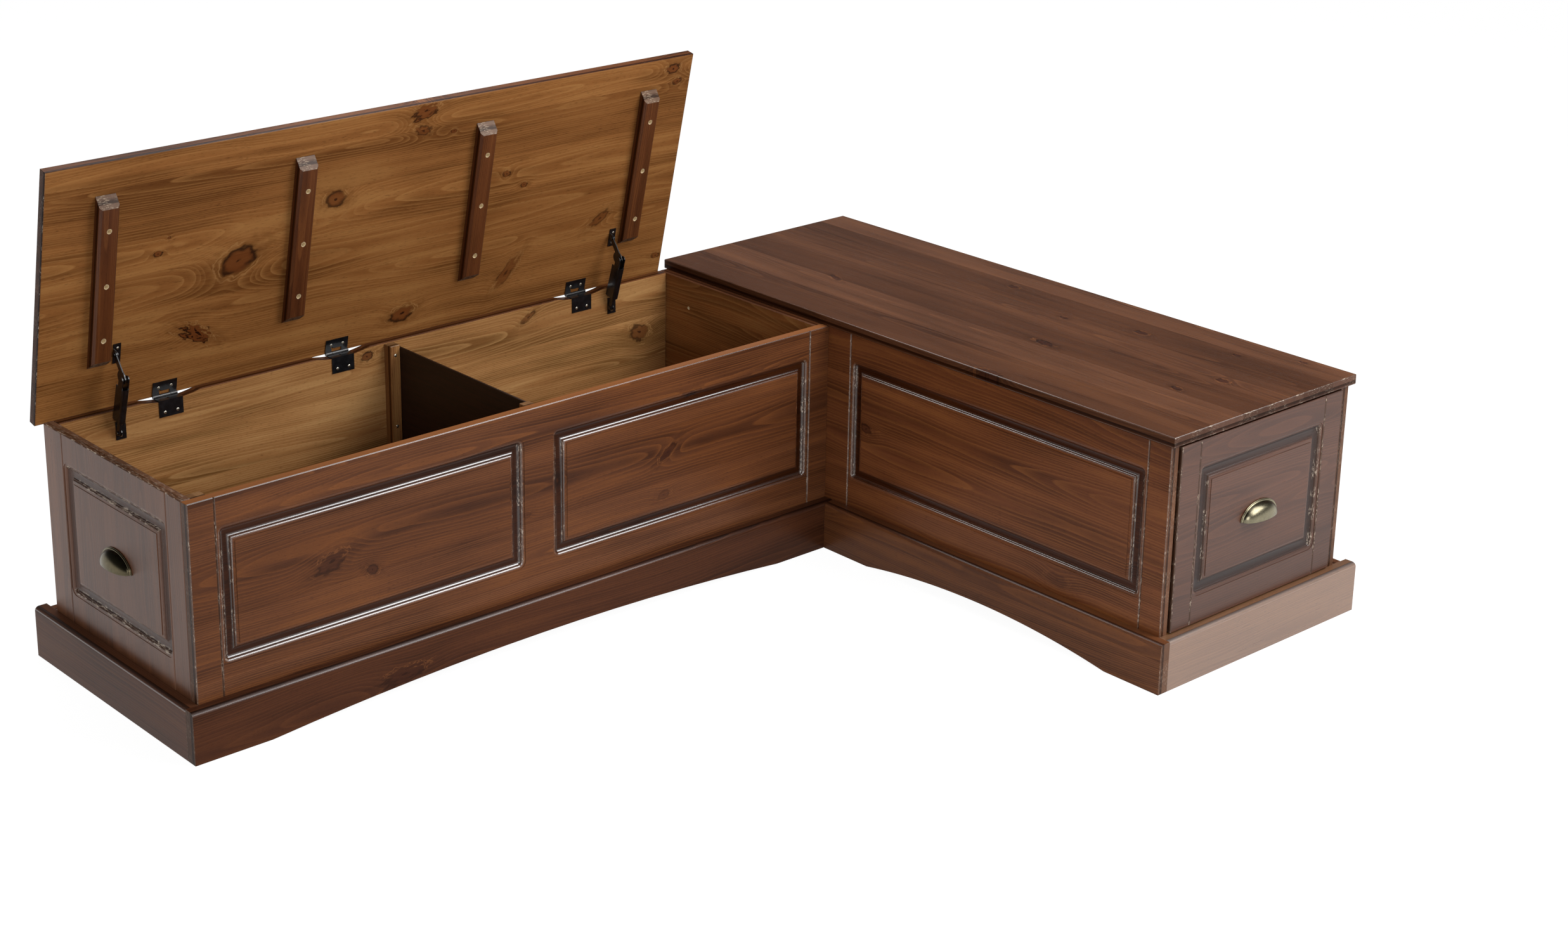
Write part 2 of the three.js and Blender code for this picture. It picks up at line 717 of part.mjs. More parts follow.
// A batten is sloped at both ends, chamfered along its two free edges and drilled for its screws
function lidBatten(x) {
  const [near, far] = [-battenNearEnd, -battenNearEnd - battenLength];
  const [top, low] = [lidUnder - seatGap, lidUnder - seatGap - battenThickness];
  const half = battenWidth / 2;
  const side = [[near, top], [far, top], [far + battenThickness, low], [near - battenThickness, low]];
  const corner = (edge) => [
    [low - overrun, edge - Math.sign(edge - x) * (battenChamfer + overrun)],
    [low - overrun, edge + Math.sign(edge - x) * overrun],
    [low + battenChamfer + overrun, edge + Math.sign(edge - x) * overrun],
  ];
  const chamfer = (edge) => prism(corner(edge), 'y', [far - overrun, near + overrun]);
  const depth = battenHoleDepth + overrun;
  const holes = Array.from({ length: battenHoleCount }, (_, i) => {
    const hole = new THREE.CylinderGeometry(battenHoleRadius, battenHoleRadius, depth, roundSteps);
    const along = (near + far) / 2 + (i - (battenHoleCount - 1) / 2) * battenHoleSpacing;
    return hole.rotateX(Math.PI / 2).translate(x, along, low - overrun + depth / 2);
  });
  return cut(prism(side, 'x', [x - half, x + half]), chamfer(x - half), chamfer(x + half), ...holes);
}

function buildLid() {
  const deep = [-(chestDepth + lidFrontOverhang), lidRearOverhang];
  const thick = [lidUnder, lidUnder + topThickness];
  const top = easedBoard('z', [lidLeft, lidRight], deep, thick, seatRound, seatRoundSteps);
  add(lid, 'chest_lid', top, stainedPine);
  battenPlaces.forEach((x, i) => add(lid, `lid_batten_${i + 1}`, lidBatten(x), darkPine));
}

// Hinges: the box leaf carries the middle knuckle and the lid leaf the two outer ones
function knuckleSpans(x) {
  const half = hingeWidth / 2;
  const middle = half * middleKnuckleShare;
  return {
    whole: [x - half, x + half],
    middle: [x - middle, x + middle],
    left: [x - half, x - middle - knuckleGap],
    right: [x + middle + knuckleGap, x + half],
  };
}

function screwHole(x, y, z, axis) {
  const length = 2 * overrun;
  const hole = new THREE.CylinderGeometry(leafHoleRadius, leafHoleRadius, length, roundSteps / 2);
  if (axis === 'z') hole.rotateX(Math.PI / 2);
  return hole.translate(x, y, z);
}

function boxLeaf(x) {
  const { whole, middle, left, right } = knuckleSpans(x);
  const upper = flangeUnderside + leafThickness;
  const face = backInside - leafThickness;
  const upright = board(whole, [face, backInside], [upper - boxLeafDrop, upper]);
  const flange = board(whole, [face, hingeAxisY], [flangeUnderside, upper]);
  const barrel = rodX(middle, hingeAxisY, hingeAxisZ, knuckleRadius);
  const stop = hingeAxisY - knuckleRadius - knuckleGap;
  const clear = [stop, hingeAxisY + overrun];
  const level = [flangeUnderside - overrun, upper + overrun];
  const holeZ = upper - boxHoleDrop;
  const pinHole = hingePinRadius + hingePinClearance;
  return cut(
    join(upright, flange, barrel),
    board([whole[0] - overrun, left[1] + knuckleGap], clear, level),
    board([right[0] - knuckleGap, whole[1] + overrun], clear, level),
    rodX([whole[0] - overrun, whole[1] + overrun], hingeAxisY, hingeAxisZ, pinHole),
    screwHole(x - leafHoleSpacing / 2, backInside, holeZ, 'y'),
    screwHole(x + leafHoleSpacing / 2, backInside, holeZ, 'y'),
    screwHole(x, hingeAxisY - flangeHoleReach, upper, 'z'),
  );
}

function lidLeaf(x) {
  const { whole, middle, left, right } = knuckleSpans(x);
  const plate = board(whole, [-lidLeafReach, 0], [knuckleRadius - leafThickness, knuckleRadius]);
  const slot = [middle[0] - knuckleGap, middle[1] + knuckleGap];
  const level = [-knuckleRadius - overrun, knuckleRadius + overrun];
  return cut(
    join(plate, rodX(left, 0, 0, knuckleRadius), rodX(right, 0, 0, knuckleRadius)),
    board(slot, [-knuckleRadius - lidLeafSlot, knuckleRadius + overrun], level),
    rodX([whole[0] - overrun, whole[1] + overrun], 0, 0, hingePinRadius + hingePinClearance),
    screwHole(x - leafHoleSpacing / 2, -lidHoleReach, knuckleRadius, 'z'),
    screwHole(x + leafHoleSpacing / 2, -lidHoleReach, knuckleRadius, 'z'),
    screwHole(x - hingeWidth / 4 + leafHoleRadius, -spareHoleReach, knuckleRadius, 'z'),
  );
}

function buildHinges() {
  hingePlaces.forEach((x, i) => {
    const { whole } = knuckleSpans(x);
    add(bench, `hinge_box_leaf_${i + 1}`, boxLeaf(x), blackSteel);
    add(lid, `hinge_lid_leaf_${i + 1}`, lidLeaf(x), blackSteel);
    add(bench, `hinge_pin_${i + 1}`, rodX(whole, hingeAxisY, hingeAxisZ, hingePinRadius), hingePinSteel);
  });
}

// Lid stays. Seen from the side the four pivots make a parallelogram: the lid pin and the
// hinge axis, and the arm's cam pin and the box bracket's pin, move alike
const stayArmBack = panelThickness + boxPinStandoff;
const tongueRadius = boxPinStandoff - bracketThickness - earSideGap;
const stayReach = new THREE.Vector2(-stayPinReach, lidUnder - stayPinStandoff);
const openReach = stayReach.clone().rotateAround(new THREE.Vector2(), -lidOpenAngle);
const lidPin = { y: hingeAxisY + openReach.x, z: hingeAxisZ + openReach.y };
const boxPin = { y: hingeAxisY - stayArmBack, z: hingeAxisZ - stayArmDrop };
const stayLean = Math.atan2(-openReach.x, openReach.y);
const stayLength = stayReach.length();
const stayPlaces = {
  left: battenPlaces[0] + battenWidth / 2 + stayBesideFirstBatten + housingWidth / 2,
  right: battenPlaces[battenCount - 1] - battenWidth / 2 - stayBesideLastBatten - housingWidth / 2,
};

function disc(y, z, radius, [x0, x1], sides = 2 * roundSteps) {
  return rodX([x0, x1], y, z, radius, sides);
}

// The lid bracket in the lid's group: a plate on the wood, an ear and its riveted pin
function stayLidBracket(x) {
  const armSide = armThickness / 2;
  const ear = [x + armSide + earSideGap, x + armSide + earSideGap + earThickness];
  const top = lidUnder - seatGap;
  const pinZ = lidUnder - stayPinStandoff;
  const plateEnd = -stayPinReach - lidPlateLead;
  const plateSpan = [plateEnd, plateEnd + lidPlateLength];
  const plate = board([ear[0], ear[0] + lidPlateWidth], plateSpan, [top - bracketThickness, top]);
  const web = board(ear, [-stayPinReach - earRadius, -stayPinReach + earRadius], [pinZ, top]);
  const head = [x - armSide - earSideGap - pinHeadThickness, x - armSide - earSideGap];
  return join(
    plate,
    web,
    disc(-stayPinReach, pinZ, earRadius, ear),
    rodX([head[0], ear[1]], -stayPinReach, pinZ, stayPinRadius),
    rodX(head, -stayPinReach, pinZ, pinHeadRadius),
  );
}

// The arm with its cam, measured from the lid pin, and the cam pin riveted through it
function stayArm() {
  const flat = [-armThickness / 2, armThickness / 2];
  const [camY, camZ] = [-stayArmBack, -stayArmDrop];
  const length = Math.hypot(stayArmBack, stayArmDrop);
  const [acrossY, acrossZ] = [stayArmDrop / length, -stayArmBack / length];
  const neck = armEndRadius * armNeckShare;
  const corner = (y, z, side, half) => [y + side * acrossY * half, z + side * acrossZ * half];
  const blade = [
    corner(0, 0, -1, neck), corner(camY, camZ, -1, armEndRadius),
    corner(camY, camZ, 1, armEndRadius), corner(0, 0, 1, neck),
  ];
  const pinHalf = housingWidth / 2 + earSideGap;
  const plate = join(
    prism(blade, 'x', flat),
    disc(0, 0, armEndRadius, flat),
    disc(camY, camZ, armEndRadius, flat),
    disc(camY + camOffsetBack, camZ + camOffsetUp, camRadius, flat),
    rodX([-pinHalf, pinHalf], camY, camZ, stayPinRadius),
  );
  const hole = rodX([flat[0] - overrun, flat[1] + overrun], 0, 0, stayPinRadius + stayPinClearance);
  return cut(plate, hole);
}

// The spring housing, measured from the box pin with +Z towards the cam pin
function stayHousing() {
  const side = housingWidth / 2;
  const inner = side - housingWall;
  const wide = [-side, side];
  const half = tongueThickness / 2;
  const body = new THREE.Shape();
  body.moveTo(-side, housingBack);
  body.lineTo(-side, -housingFront + housingRound);
  body.absarc(-side + housingRound, -housingFront + housingRound, housingRound, Math.PI, 1.5 * Math.PI);
  body.absarc(side - housingRound, -housingFront + housingRound, housingRound, 1.5 * Math.PI, 2 * Math.PI);
  body.lineTo(side, housingBack);
  const depth = housingEnd - housingStart;
  const shell = new THREE.ExtrudeGeometry(body, {
    depth, bevelEnabled: false, curveSegments: housingRoundSteps,
  });
  shell.translate(0, 0, housingStart);
  const tongue = board([-half, half], [-tongueRadius, tongueRadius], [0, housingStart + overrun]);
  const ears = board(wide, [-housingEarRadius, housingEarRadius], [housingFloor, stayLength]);
  const mouthY = [-housingFront + housingWall, housingBack + overrun];
  const mouth = board([-inner, inner], mouthY, [housingFloor, stayLength + 2 * camRadius]);
  const pinHole = rodX([-side - overrun, side + overrun], 0, stayLength, stayPinRadius + stayPinClearance);
  const boxHole = rodX([-side - overrun, side + overrun], 0, 0, stayPinRadius + stayPinClearance);
  const tongueEnd = disc(0, 0, tongueRadius, [-half, half]);
  const earEnd = disc(0, stayLength, housingEarRadius, wide);
  return cut(
    join(shell, tongue, tongueEnd, ears, earEnd),
    mouth,
    pinHole,
    boxHole,
  );
}

// The box bracket on the back panel: a flange, an ear and its riveted pin
function stayBoxBracket(x) {
  const face = backInside - bracketThickness;
  const half = tongueThickness / 2;
  const ear = [x + half + earSideGap, x + half + earSideGap + bracketThickness];
  const flangeSpan = [boxPin.z - bracketBelowPin, boxPin.z + bracketAbovePin];
  const flange = board([x - half, x - half + bracketWidth], [face, backInside], flangeSpan);
  const web = board(ear, [boxPin.y, backInside], [boxPin.z - earRadius, boxPin.z + earRadius]);
  const head = [x - half - earSideGap - pinHeadThickness, x - half - earSideGap];
  return join(
    flange,
    web,
    disc(boxPin.y, boxPin.z, earRadius, ear),
    rodX([head[0], ear[1]], boxPin.y, boxPin.z, stayPinRadius),
    rodX(head, boxPin.y, boxPin.z, pinHeadRadius),
  );
}

function buildStays() {
  for (const [side, x] of Object.entries(stayPlaces)) {
    add(lid, `stay_lid_bracket_${side}`, stayLidBracket(x), blackSteel);
    add(bench, `stay_box_bracket_${side}`, stayBoxBracket(x), blackSteel);
    const arm = add(bench, `stay_arm_${side}`, stayArm(), blackSteel);
    arm.position.set(x, lidPin.y, lidPin.z);
    const housing = add(bench, `stay_housing_${side}`, stayHousing(), blackSteel);
    housing.position.set(x, boxPin.y, boxPin.z);
    housing.rotation.x = stayLean;
  }
}

buildChest();
buildPlinths();
buildWing();
buildDrawer();
buildPulls();
buildLid();
buildHinges();
buildStays();

// The part's own origin is on the floor under the middle of its overall box
const cornerBench = new THREE.Group();
cornerBench.add(bench);
cornerBench.updateMatrixWorld(true);
const bounds = new THREE.Box3().setFromObject(bench, true);
bench.position.set(-(bounds.min.x + bounds.max.x) / 2, -(bounds.min.y + bounds.max.y) / 2, -bounds.min.z);
cornerBench.updateMatrixWorld(true);

export default cornerBench;
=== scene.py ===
import json
import math

import bmesh
import bpy
from mathutils import Euler, Matrix, Vector


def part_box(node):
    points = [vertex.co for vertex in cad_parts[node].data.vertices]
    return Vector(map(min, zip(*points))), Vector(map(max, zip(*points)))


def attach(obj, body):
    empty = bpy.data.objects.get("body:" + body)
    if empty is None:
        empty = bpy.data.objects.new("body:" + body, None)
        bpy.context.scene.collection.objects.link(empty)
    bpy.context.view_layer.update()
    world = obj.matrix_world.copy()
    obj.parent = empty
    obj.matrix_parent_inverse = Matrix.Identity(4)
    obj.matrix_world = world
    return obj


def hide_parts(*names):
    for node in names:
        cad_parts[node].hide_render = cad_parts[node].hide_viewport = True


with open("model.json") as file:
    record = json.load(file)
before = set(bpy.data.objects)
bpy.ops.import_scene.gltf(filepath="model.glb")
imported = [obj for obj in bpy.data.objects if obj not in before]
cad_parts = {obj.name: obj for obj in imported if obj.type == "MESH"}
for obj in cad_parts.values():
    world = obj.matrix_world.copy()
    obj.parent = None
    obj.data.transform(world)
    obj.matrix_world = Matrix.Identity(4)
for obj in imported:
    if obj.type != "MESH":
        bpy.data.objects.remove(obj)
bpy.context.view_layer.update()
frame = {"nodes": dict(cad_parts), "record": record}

# Sizes in millimetres, in the part's own frame
MM = 0.001
HINGE_AXIS = (616.2, 418.7)
LID_LEFT = -918.15
LID_OPEN = math.radians(77.3)
UP_THE_LID = (0.0, -math.cos(LID_OPEN), math.sin(LID_OPEN))
OUT_OF_UNDERSIDE = (0.0, -math.sin(LID_OPEN), -math.cos(LID_OPEN))

BATTEN_SCREWS = (141.6, 241.6, 341.6)
BATTEN_HOLE_RADIUS = 4.2
BATTEN_HOLE_FLOOR = 4.9
BATTEN_CENTRES = (-810.35, -438.05, -65.75, 306.55)

HINGE_CENTRES = (-679.85, -336.35, 197.85)
STAY_PLACES = (-783.35, 262.55)

# Screws. In the case: x from the hinge or stay, y and z. In the lid: x, up the lid, out of it
BOX_LEAF_SCREWS = ((-12.0, 595.8, 395.7), (12.0, 595.8, 395.7))
LID_LEAF_SCREWS = ((-12.0, 15.0, -1.5), (12.0, 15.0, -1.5))
STAY_CASE_SCREWS = ((7.5, 595.5, 394.0), (7.5, 595.5, 375.0))
STAY_LID_SCREWS = ((9.4, 112.0, -1.3), (9.4, 91.0, -1.3))
DIVIDER_SCREWS = ((-238.85, 576.95, 401.0), (-238.85, 576.95, 267.0))

PULL_HALF_WIDTH = 43.5
PULL_REACH = 19.5
PULL_HEIGHT = 27.0
PULL_WALL = 1.8

# The photograph's width, focal length and middle column, in its pixels, and how far the
# frame is moved up; the camera's place, and its yaw, pitch and roll in degrees
PHOTO_WIDTH = 2473
PHOTO_FOCAL = 4165.3
PHOTO_MIDDLE = 1039.2
PHOTO_SHIFT = -0.10
CAMERA_PLACE = (-2732.45, -3102.5, 1938.2)
CAMERA_TURN = (40.15, -18.25, 0.18)
FILM_WIDTH = 36.0

# Lamps: place, what they face, width and height, in metres, and watts
LAMPS = {
    "soft_box_right": ((1.2, -1.85, 2.05), (-0.2, 0.1, 0.3), (1.6, 1.7), 62),
    "soft_box_above": ((1.0, 0.0, 2.75), (1.0, -0.3, 0.3), (1.35, 2.6), 22),
    "soft_box_behind": ((0.4, 1.9, 2.8), (0.4, 1.2, 0.3), (2.6, 1.4), 46),
    "fill_in_front": ((-2.0, -3.9, 1.9), (-0.1, 0.0, 0.3), (2.0, 1.6), 54),
}


def hex_colour(text):
    """A written colour as Blender's linear red, green, blue and alpha."""
    parts = [int(text[i:i + 2], 16) / 255 for i in (0, 2, 4)]
    linear = [c / 12.92 if c <= 0.04045 else ((c + 0.055) / 1.055) ** 2.4 for c in parts]
    return (*linear, 1.0)


class Tree:
    """Short names for building a shader or geometry tree."""

    def __init__(self, tree):
        self.tree = tree

    def node(self, kind, sockets=None, **settings):
        made = self.tree.nodes.new(kind)
        for name, value in settings.items():
            setattr(made, name, value)
        for key, value in (sockets or {}).items():
            self.feed(made.inputs[key], value)
        return made

    def feed(self, socket, value):
        if isinstance(value, bpy.types.NodeSocket):
            self.tree.links.new(value, socket)
        elif value is not None:
            socket.default_value = value

    def group(self, tree, sockets):
        made = self.node("ShaderNodeGroup", node_tree=tree)
        for key, value in sockets.items():
            self.feed(made.inputs[key], value)
        return made.outputs

    def maths(self, operation, *values, clamp=False):
        made = self.node("ShaderNodeMath", operation=operation, use_clamp=clamp)
        for socket, value in zip(made.inputs, values):
            self.feed(socket, value)
        return made.outputs[0]

    def plus(self, first, second, clamp=False):
        return self.maths("ADD", first, second, clamp=clamp)

    def minus(self, first, second):
        return self.maths("SUBTRACT", first, second)

    def times(self, first, second, clamp=False):
        return self.maths("MULTIPLY", first, second, clamp=clamp)

    def over(self, first, second):
        return self.maths("DIVIDE", first, second)

    def times_plus(self, value, factor, start):
        return self.maths("MULTIPLY_ADD", value, factor, start)

    def length(self, first, second):
        return self.maths("SQRT", self.plus(self.times(first, first), self.times(second, second)))

    def vector(self, operation, *values, out=0):
        made = self.node("ShaderNodeVectorMath", operation=operation)
        for socket, value in zip(made.inputs, values):
            self.feed(socket, value)
        return made.outputs[out]

    def split(self, vector):
        return self.node("ShaderNodeSeparateXYZ", {0: vector}).outputs

    def join(self, x, y, z):
        return self.node("ShaderNodeCombineXYZ", {0: x, 1: y, 2: z}).outputs[0]

    def step(self, value, low, high, to_low=0.0, to_high=1.0):
        sockets = {0: value, 1: low, 2: high, 3: to_low, 4: to_high}
        made = self.node("ShaderNodeMapRange", sockets, interpolation_type="SMOOTHSTEP")
        return made.outputs[0]

    def stretched(self, x, y, z, *factors):
        pairs = zip((x, y, z), factors)
        return self.join(*(self.times(value, factor) for value, factor in pairs))

    def mix(self, share, first, second):
        sockets = {0: share, 6: first, 7: second}
        return self.node("ShaderNodeMix", sockets, data_type="RGBA").outputs[2]

    def noise(self, vector, scale, detail=2.0, roughness=0.5, out=0):
        sockets = {"Vector": vector, "Scale": scale, "Detail": detail, "Roughness": roughness}
        return self.node("ShaderNodeTexNoise", sockets).outputs[out]


def new_group(name, inputs, outputs):
    """An empty shader node group, its helper, and what comes in and goes out.
    An input that starts at None is a vector, and all the others are numbers."""
    group = bpy.data.node_groups.new(name, "ShaderNodeTree")
    sides = group.interface
    for label, start in inputs.items():
        if start is None:
            sides.new_socket(label, in_out="INPUT", socket_type="NodeSocketVector")
        else:
            sides.new_socket(label, in_out="INPUT", socket_type="NodeSocketFloat").default_value = start
    for label in outputs:
        sides.new_socket(label, in_out="OUTPUT", socket_type="NodeSocketFloat")
    t = Tree(group)
    return group, t, t.node("NodeGroupInput").outputs, t.node("NodeGroupOutput").inputs


def new_material(name):
    """An empty material with nodes, and its helper."""
    material = bpy.data.materials.new(name)
    material.use_nodes = True
    material.node_tree.nodes.clear()
    return material, Tree(material.node_tree)


def new_object(name, data):
    """An object in the scene, at the origin."""
    made = bpy.data.objects.new(name, data)
    bpy.context.scene.collection.objects.link(made)
    return made


def pine_figure_group():
    """Growth rings cut by the face of an edge-glued pine board, whatever side of it is seen.
    The point is in the board's own frame: x along the grain, y across the staves, z through."""
    group, t, given, leave = new_group(
        "pine_figure",
        {"Point": None, "Stave Width": 0.075, "Seed": 0.0, "Ring Width": 0.0032, "Wander": 1.0,
         "Knot Push": 0.0},
        ("Late Wood", "Fibre", "Stave Tone", "Cloud", "Fleck", "Joint"))
    heart_spread, heart_depth, more_depth = 1.1, 0.012, 0.045
    sway_width, lift_height, ripple_width, taper_width = 0.06, 0.05, 0.0022, 0.012
    bend_scale, ripple_scale = (1.3, 7.3, 1.0), (9.0, 16.0, 1.0)
    fibre_scale, dash_scale = (7.0, 420.0, 420.0), (110.0, 1300.0, 1300.0)
    cloud_scale, band_scale = (2.6, 9.0, 1.0), (2.2, 42.0, 1.0)
    point, width, seed = given["Point"], given["Stave Width"], given["Seed"]
    x, y, z = t.split(point)
    stave = t.plus(t.over(y, width), t.times(seed, 0.37))
    number = t.maths("FLOOR", stave)
    inside = t.minus(t.minus(stave, number), 0.5)
    across = t.times(inside, width)
    key = t.join(number, seed, 0.0)
    chance = t.node("ShaderNodeTexWhiteNoise", {"Vector": key}, noise_dimensions="2D")
    first, second, third = t.split(chance.outputs["Color"])
    bend = t.split(t.noise(t.stretched(x, number, seed, *bend_scale), 1.0, 1.5, 0.45, out=1))
    ripple = t.minus(t.noise(t.stretched(x, y, seed, *ripple_scale), 1.0, 2.0), 0.5)
    sway = t.times(t.minus(bend[0], 0.5), t.times(given["Wander"], sway_width))
    lift = t.times(t.minus(bend[1], 0.5), t.times(given["Wander"], lift_height))
    heart_across = t.times(t.minus(first, 0.5), t.times(width, heart_spread))
    heart_below = t.times_plus(second, more_depth, heart_depth)
    from_heart_y = t.plus(t.minus(across, heart_across), sway)
    from_heart_z = t.plus(t.plus(z, heart_below), lift)
    radius = t.length(from_heart_y, from_heart_z)
    taper = t.times(x, t.times_plus(third, taper_width, -taper_width / 2))
    radius = t.plus(t.plus(radius, taper), t.times(ripple, ripple_width))
    radius = t.plus(radius, given["Knot Push"])
    rings = t.over(radius, given["Ring Width"])
    uneven = t.noise(t.join(t.times(rings, 0.37), number, seed), 1.0, 1.0)
    rings = t.times_plus(uneven, 1.7, rings)
    phase = t.maths("FRACT", rings)
    rise = t.maths("POWER", phase, 2.4)
    fall = t.step(phase, 0.9, 1.0, 1.0, 0.0)
    strength = t.noise(t.join(t.maths("FLOOR", rings), number, seed), 5.3, 0.0)
    late = t.times(t.times(rise, fall), t.times_plus(strength, 1.0, 0.35), clamp=True)
    fibre = t.noise(t.stretched(x, y, z, *fibre_scale), 1.0, 3.0, 0.65)
    cloud = t.noise(t.stretched(x, y, seed, *cloud_scale), 1.0, 3.0)
    bent = t.plus(t.plus(y, given["Knot Push"]), t.times(sway, 0.6))
    band = t.noise(t.stretched(x, bent, number, *band_scale), 1.0, 2.5)
    cloud = t.plus(t.times(cloud, 0.5), t.times(band, 0.5))
    fleck = t.step(t.noise(t.stretched(x, y, z, *dash_scale), 1.0, 1.0), 0.56, 0.72)
    fleck = t.times(fleck, t.step(fibre, 0.62, 0.4))
    joint = t.step(t.maths("ABSOLUTE", inside), 0.488, 0.5)
    for socket, value in zip(leave, (late, fibre, third, cloud, fleck, joint)):
        t.feed(socket, value)
    return group


NO_MARKS = {"Push": 0.0, "Core": 0.0, "Rim": 0.0, "Halo": 0.0, "Smudge": 0.0}


def knot_group():
    """One knot. Its push bends the growth rings round it, and knots are chained by their inputs."""
    group, t, given, leave = new_group(
        "knot",
        {"Point": None, "Centre": None, "Radius": 0.01, "Stretch": 1.0, "Turn": 0.0,
         "Ragged": 0.3, "Swirl": 1.0, "Depth": 1.0, **NO_MARKS},
        NO_MARKS)
    swirl_reach, rim_place, rim_width = 2.3, 0.98, 0.2
    halo_lines, smudge_shape = ((1.5, 0.07), (1.22, 0.05)), (0.42, 0.62)
    away = t.vector("SUBTRACT", given["Point"], given["Centre"])
    turned = t.node("ShaderNodeVectorRotate", {"Vector": away, "Angle": given["Turn"]},
                    rotation_type="Z_AXIS").outputs[0]
    x, y, _ = t.split(turned)
    x = t.over(x, t.times(given["Radius"], given["Stretch"]))
    y = t.over(y, given["Radius"])
    reach = t.length(x, y)
    seed = t.times(given["Radius"], 731.0)
    rough = t.minus(t.noise(t.join(x, y, seed), 1.7, 2.0), 0.5)
    ragged = t.times(rough, t.times(given["Ragged"], 2.6))
    edge = t.plus(reach, ragged)
    falling = t.maths("EXPONENT", t.times(t.maths("POWER", t.over(reach, swirl_reach), 2.0), -1.0))
    push = t.times(t.times(falling, given["Radius"]), given["Swirl"])
    core = t.step(edge, 0.8, 1.05, 1.0, 0.0)
    one_side = t.step(t.noise(t.join(x, y, seed), 0.55, 0.0), 0.42, 0.56)

    def line(value, place, width):
        near = t.over(t.minus(value, place), width)
        return t.maths("EXPONENT", t.times(t.times(near, near), -1.0))

    rim = t.times(line(edge, rim_place, rim_width), t.times_plus(one_side, 0.8, 0.2))
    middle = t.step(edge, 0.06, 0.2, 1.0, 0.0)
    halo = t.maths("MAXIMUM", *(line(edge, *shape) for shape in halo_lines))
    halo = t.times(halo, t.minus(1.1, one_side))
    long_reach = t.length(t.times(x, smudge_shape[0]), t.times(y, smudge_shape[1]))
    smudge = t.step(t.plus(long_reach, t.times(rough, 1.3)), 0.35, 1.35, 1.0, 0.0)
    found = {"Core": core, "Rim": t.maths("MAXIMUM", rim, middle), "Halo": halo, "Smudge": smudge}
    t.feed(leave["Push"], t.plus(given["Push"], push))
    for mark, value in found.items():
        value = t.times(value, given["Depth"])
        t.feed(leave[mark], t.maths("MAXIMUM", given[mark], value))
    return group


def cut_fibre_group():
    """Where a face cuts across the grain: how far it does, and the pale torn fibres there."""
    group, t, given, leave = new_group(
        "cut_fibre",
        {"Point": None, "Facing": None, "Grain": None, "Speck Size": 1.0, "Spread": 0.0},
        ("End Grain", "Torn"))
    speck_scale, patch_scale = (700.0, 150.0, 700.0), 38.0
    lean = t.maths("ABSOLUTE", t.vector("DOT_PRODUCT", given["Facing"], given["Grain"], out=1))
    across = t.step(lean, 0.1, 0.55)
    size = given["Speck Size"]
    x, y, z = t.split(t.vector("DIVIDE", given["Point"], t.join(size, size, size)))
    specks = t.noise(t.stretched(x, y, z, *speck_scale), 1.0, 2.0, 0.65)
    patches = t.plus(t.noise(given["Point"], patch_scale, 2.0), given["Spread"])
    torn = t.times(t.step(specks, 0.52, 0.6), t.step(patches, 0.42, 0.6))
    t.feed(leave["End Grain"], across)
    t.feed(leave["Torn"], t.times(torn, across))
    return group


PINE_FIGURE = pine_figure_group()
KNOT = knot_group()
CUT_FIBRE = cut_fibre_group()

AXES = {"x": (1.0, 0.0, 0.0), "y": (0.0, 1.0, 0.0), "z": (0.0, 0.0, 1.0), "lid": UP_THE_LID}

# A stain's colours: the ground, its darker clouds, the paler late wood lines, the flecks, a
# knot's heart, rim and halo, cut end grain and torn fibres; rough is its lacquer's
WALNUT = dict(
    slot="stained_pine", ground="593521", deep="381f14", line="7d4c29", fleck="2c170d", knot="3d1f15",
    rim="1a0b07", halo="8f5a34", end="5c4638", torn="c4b29f", rough=0.3)
LID_STAIN = dict(WALNUT, end="33201a")
SEAT_STAIN = dict(WALNUT, ground="4d2f1f", deep="382014", line="66412a", end="4e3a32")
PLINTH_STAIN = dict(WALNUT, ground="4c2c1d", deep="351e14", line="643c24")
LEFT_PLINTH_STAIN = dict(WALNUT, ground="5a3625", deep="40261a", line="70492f")
DRAWER_STAIN = dict(WALNUT, ground="482b1e", deep="351d14", line="5e3a28", knot="2e1710")
# The drawer end's plinth: the walnut made paler, painted sheen for the bright reflection on that face
SHEEN_PAINTED_PLINTH_STAIN = dict(WALNUT, ground="6c4a32", deep="5b3c28", line="805c40")
END_STAIN = dict(WALNUT, ground="68412b", deep="4a2d1e", line="82553a")
HONEY = dict(
    slot="inside_pine", ground="87552c", deep="633e1e", line="ad7f4c", fleck="4f2c13", knot="7c4620",
    rim="1e0c05", halo="c0935e", end="6f5238", torn="b3946c", rough=0.42)
# The back panel's inside: the honey made paler, painted light for the light falling into the open chest
LIGHT_PAINTED_BACK_STAIN = dict(HONEY, ground="9d6e41", deep="744e27", line="c59a64", knot="65361a")
LID_INSIDE_STAIN = dict(HONEY, ground="a4703f", deep="7e5128", line="c4935a", knot="7a4320")
WING_STAIN = dict(WALNUT, ground="673a22", deep="472615", line="8a552d")
DIVIDER_STAIN = dict(HONEY, slot="dark_pine", ground="6b4226", deep="4a2c18", end="6b5138")
BATTEN_STAIN = dict(
    slot="dark_pine", ground="512c17", deep="371c0f", line="6d4122", fleck="2c1609", knot="3a1a0e",
    rim="22100a", halo="8a5a30", end="75604f", torn="a8937c", rough=0.34)
BARE_PINE = dict(
    slot="drawer_pine", ground="b58a58", deep="a17545", line="9a6a3a", fleck="8a5f35", knot="7a4522",
    rim="4c2812", halo="8f6236", end="c3a175", torn="d9c09a", rough=0.6)

# How far below the face, in metres, the routing is darkened, partly as stain pooled in it
# and partly as painted shade, and past what depth there is none
ROUTING = (0.0006, 0.0058)
BEYOND_ROUTING = (0.008, 0.009)
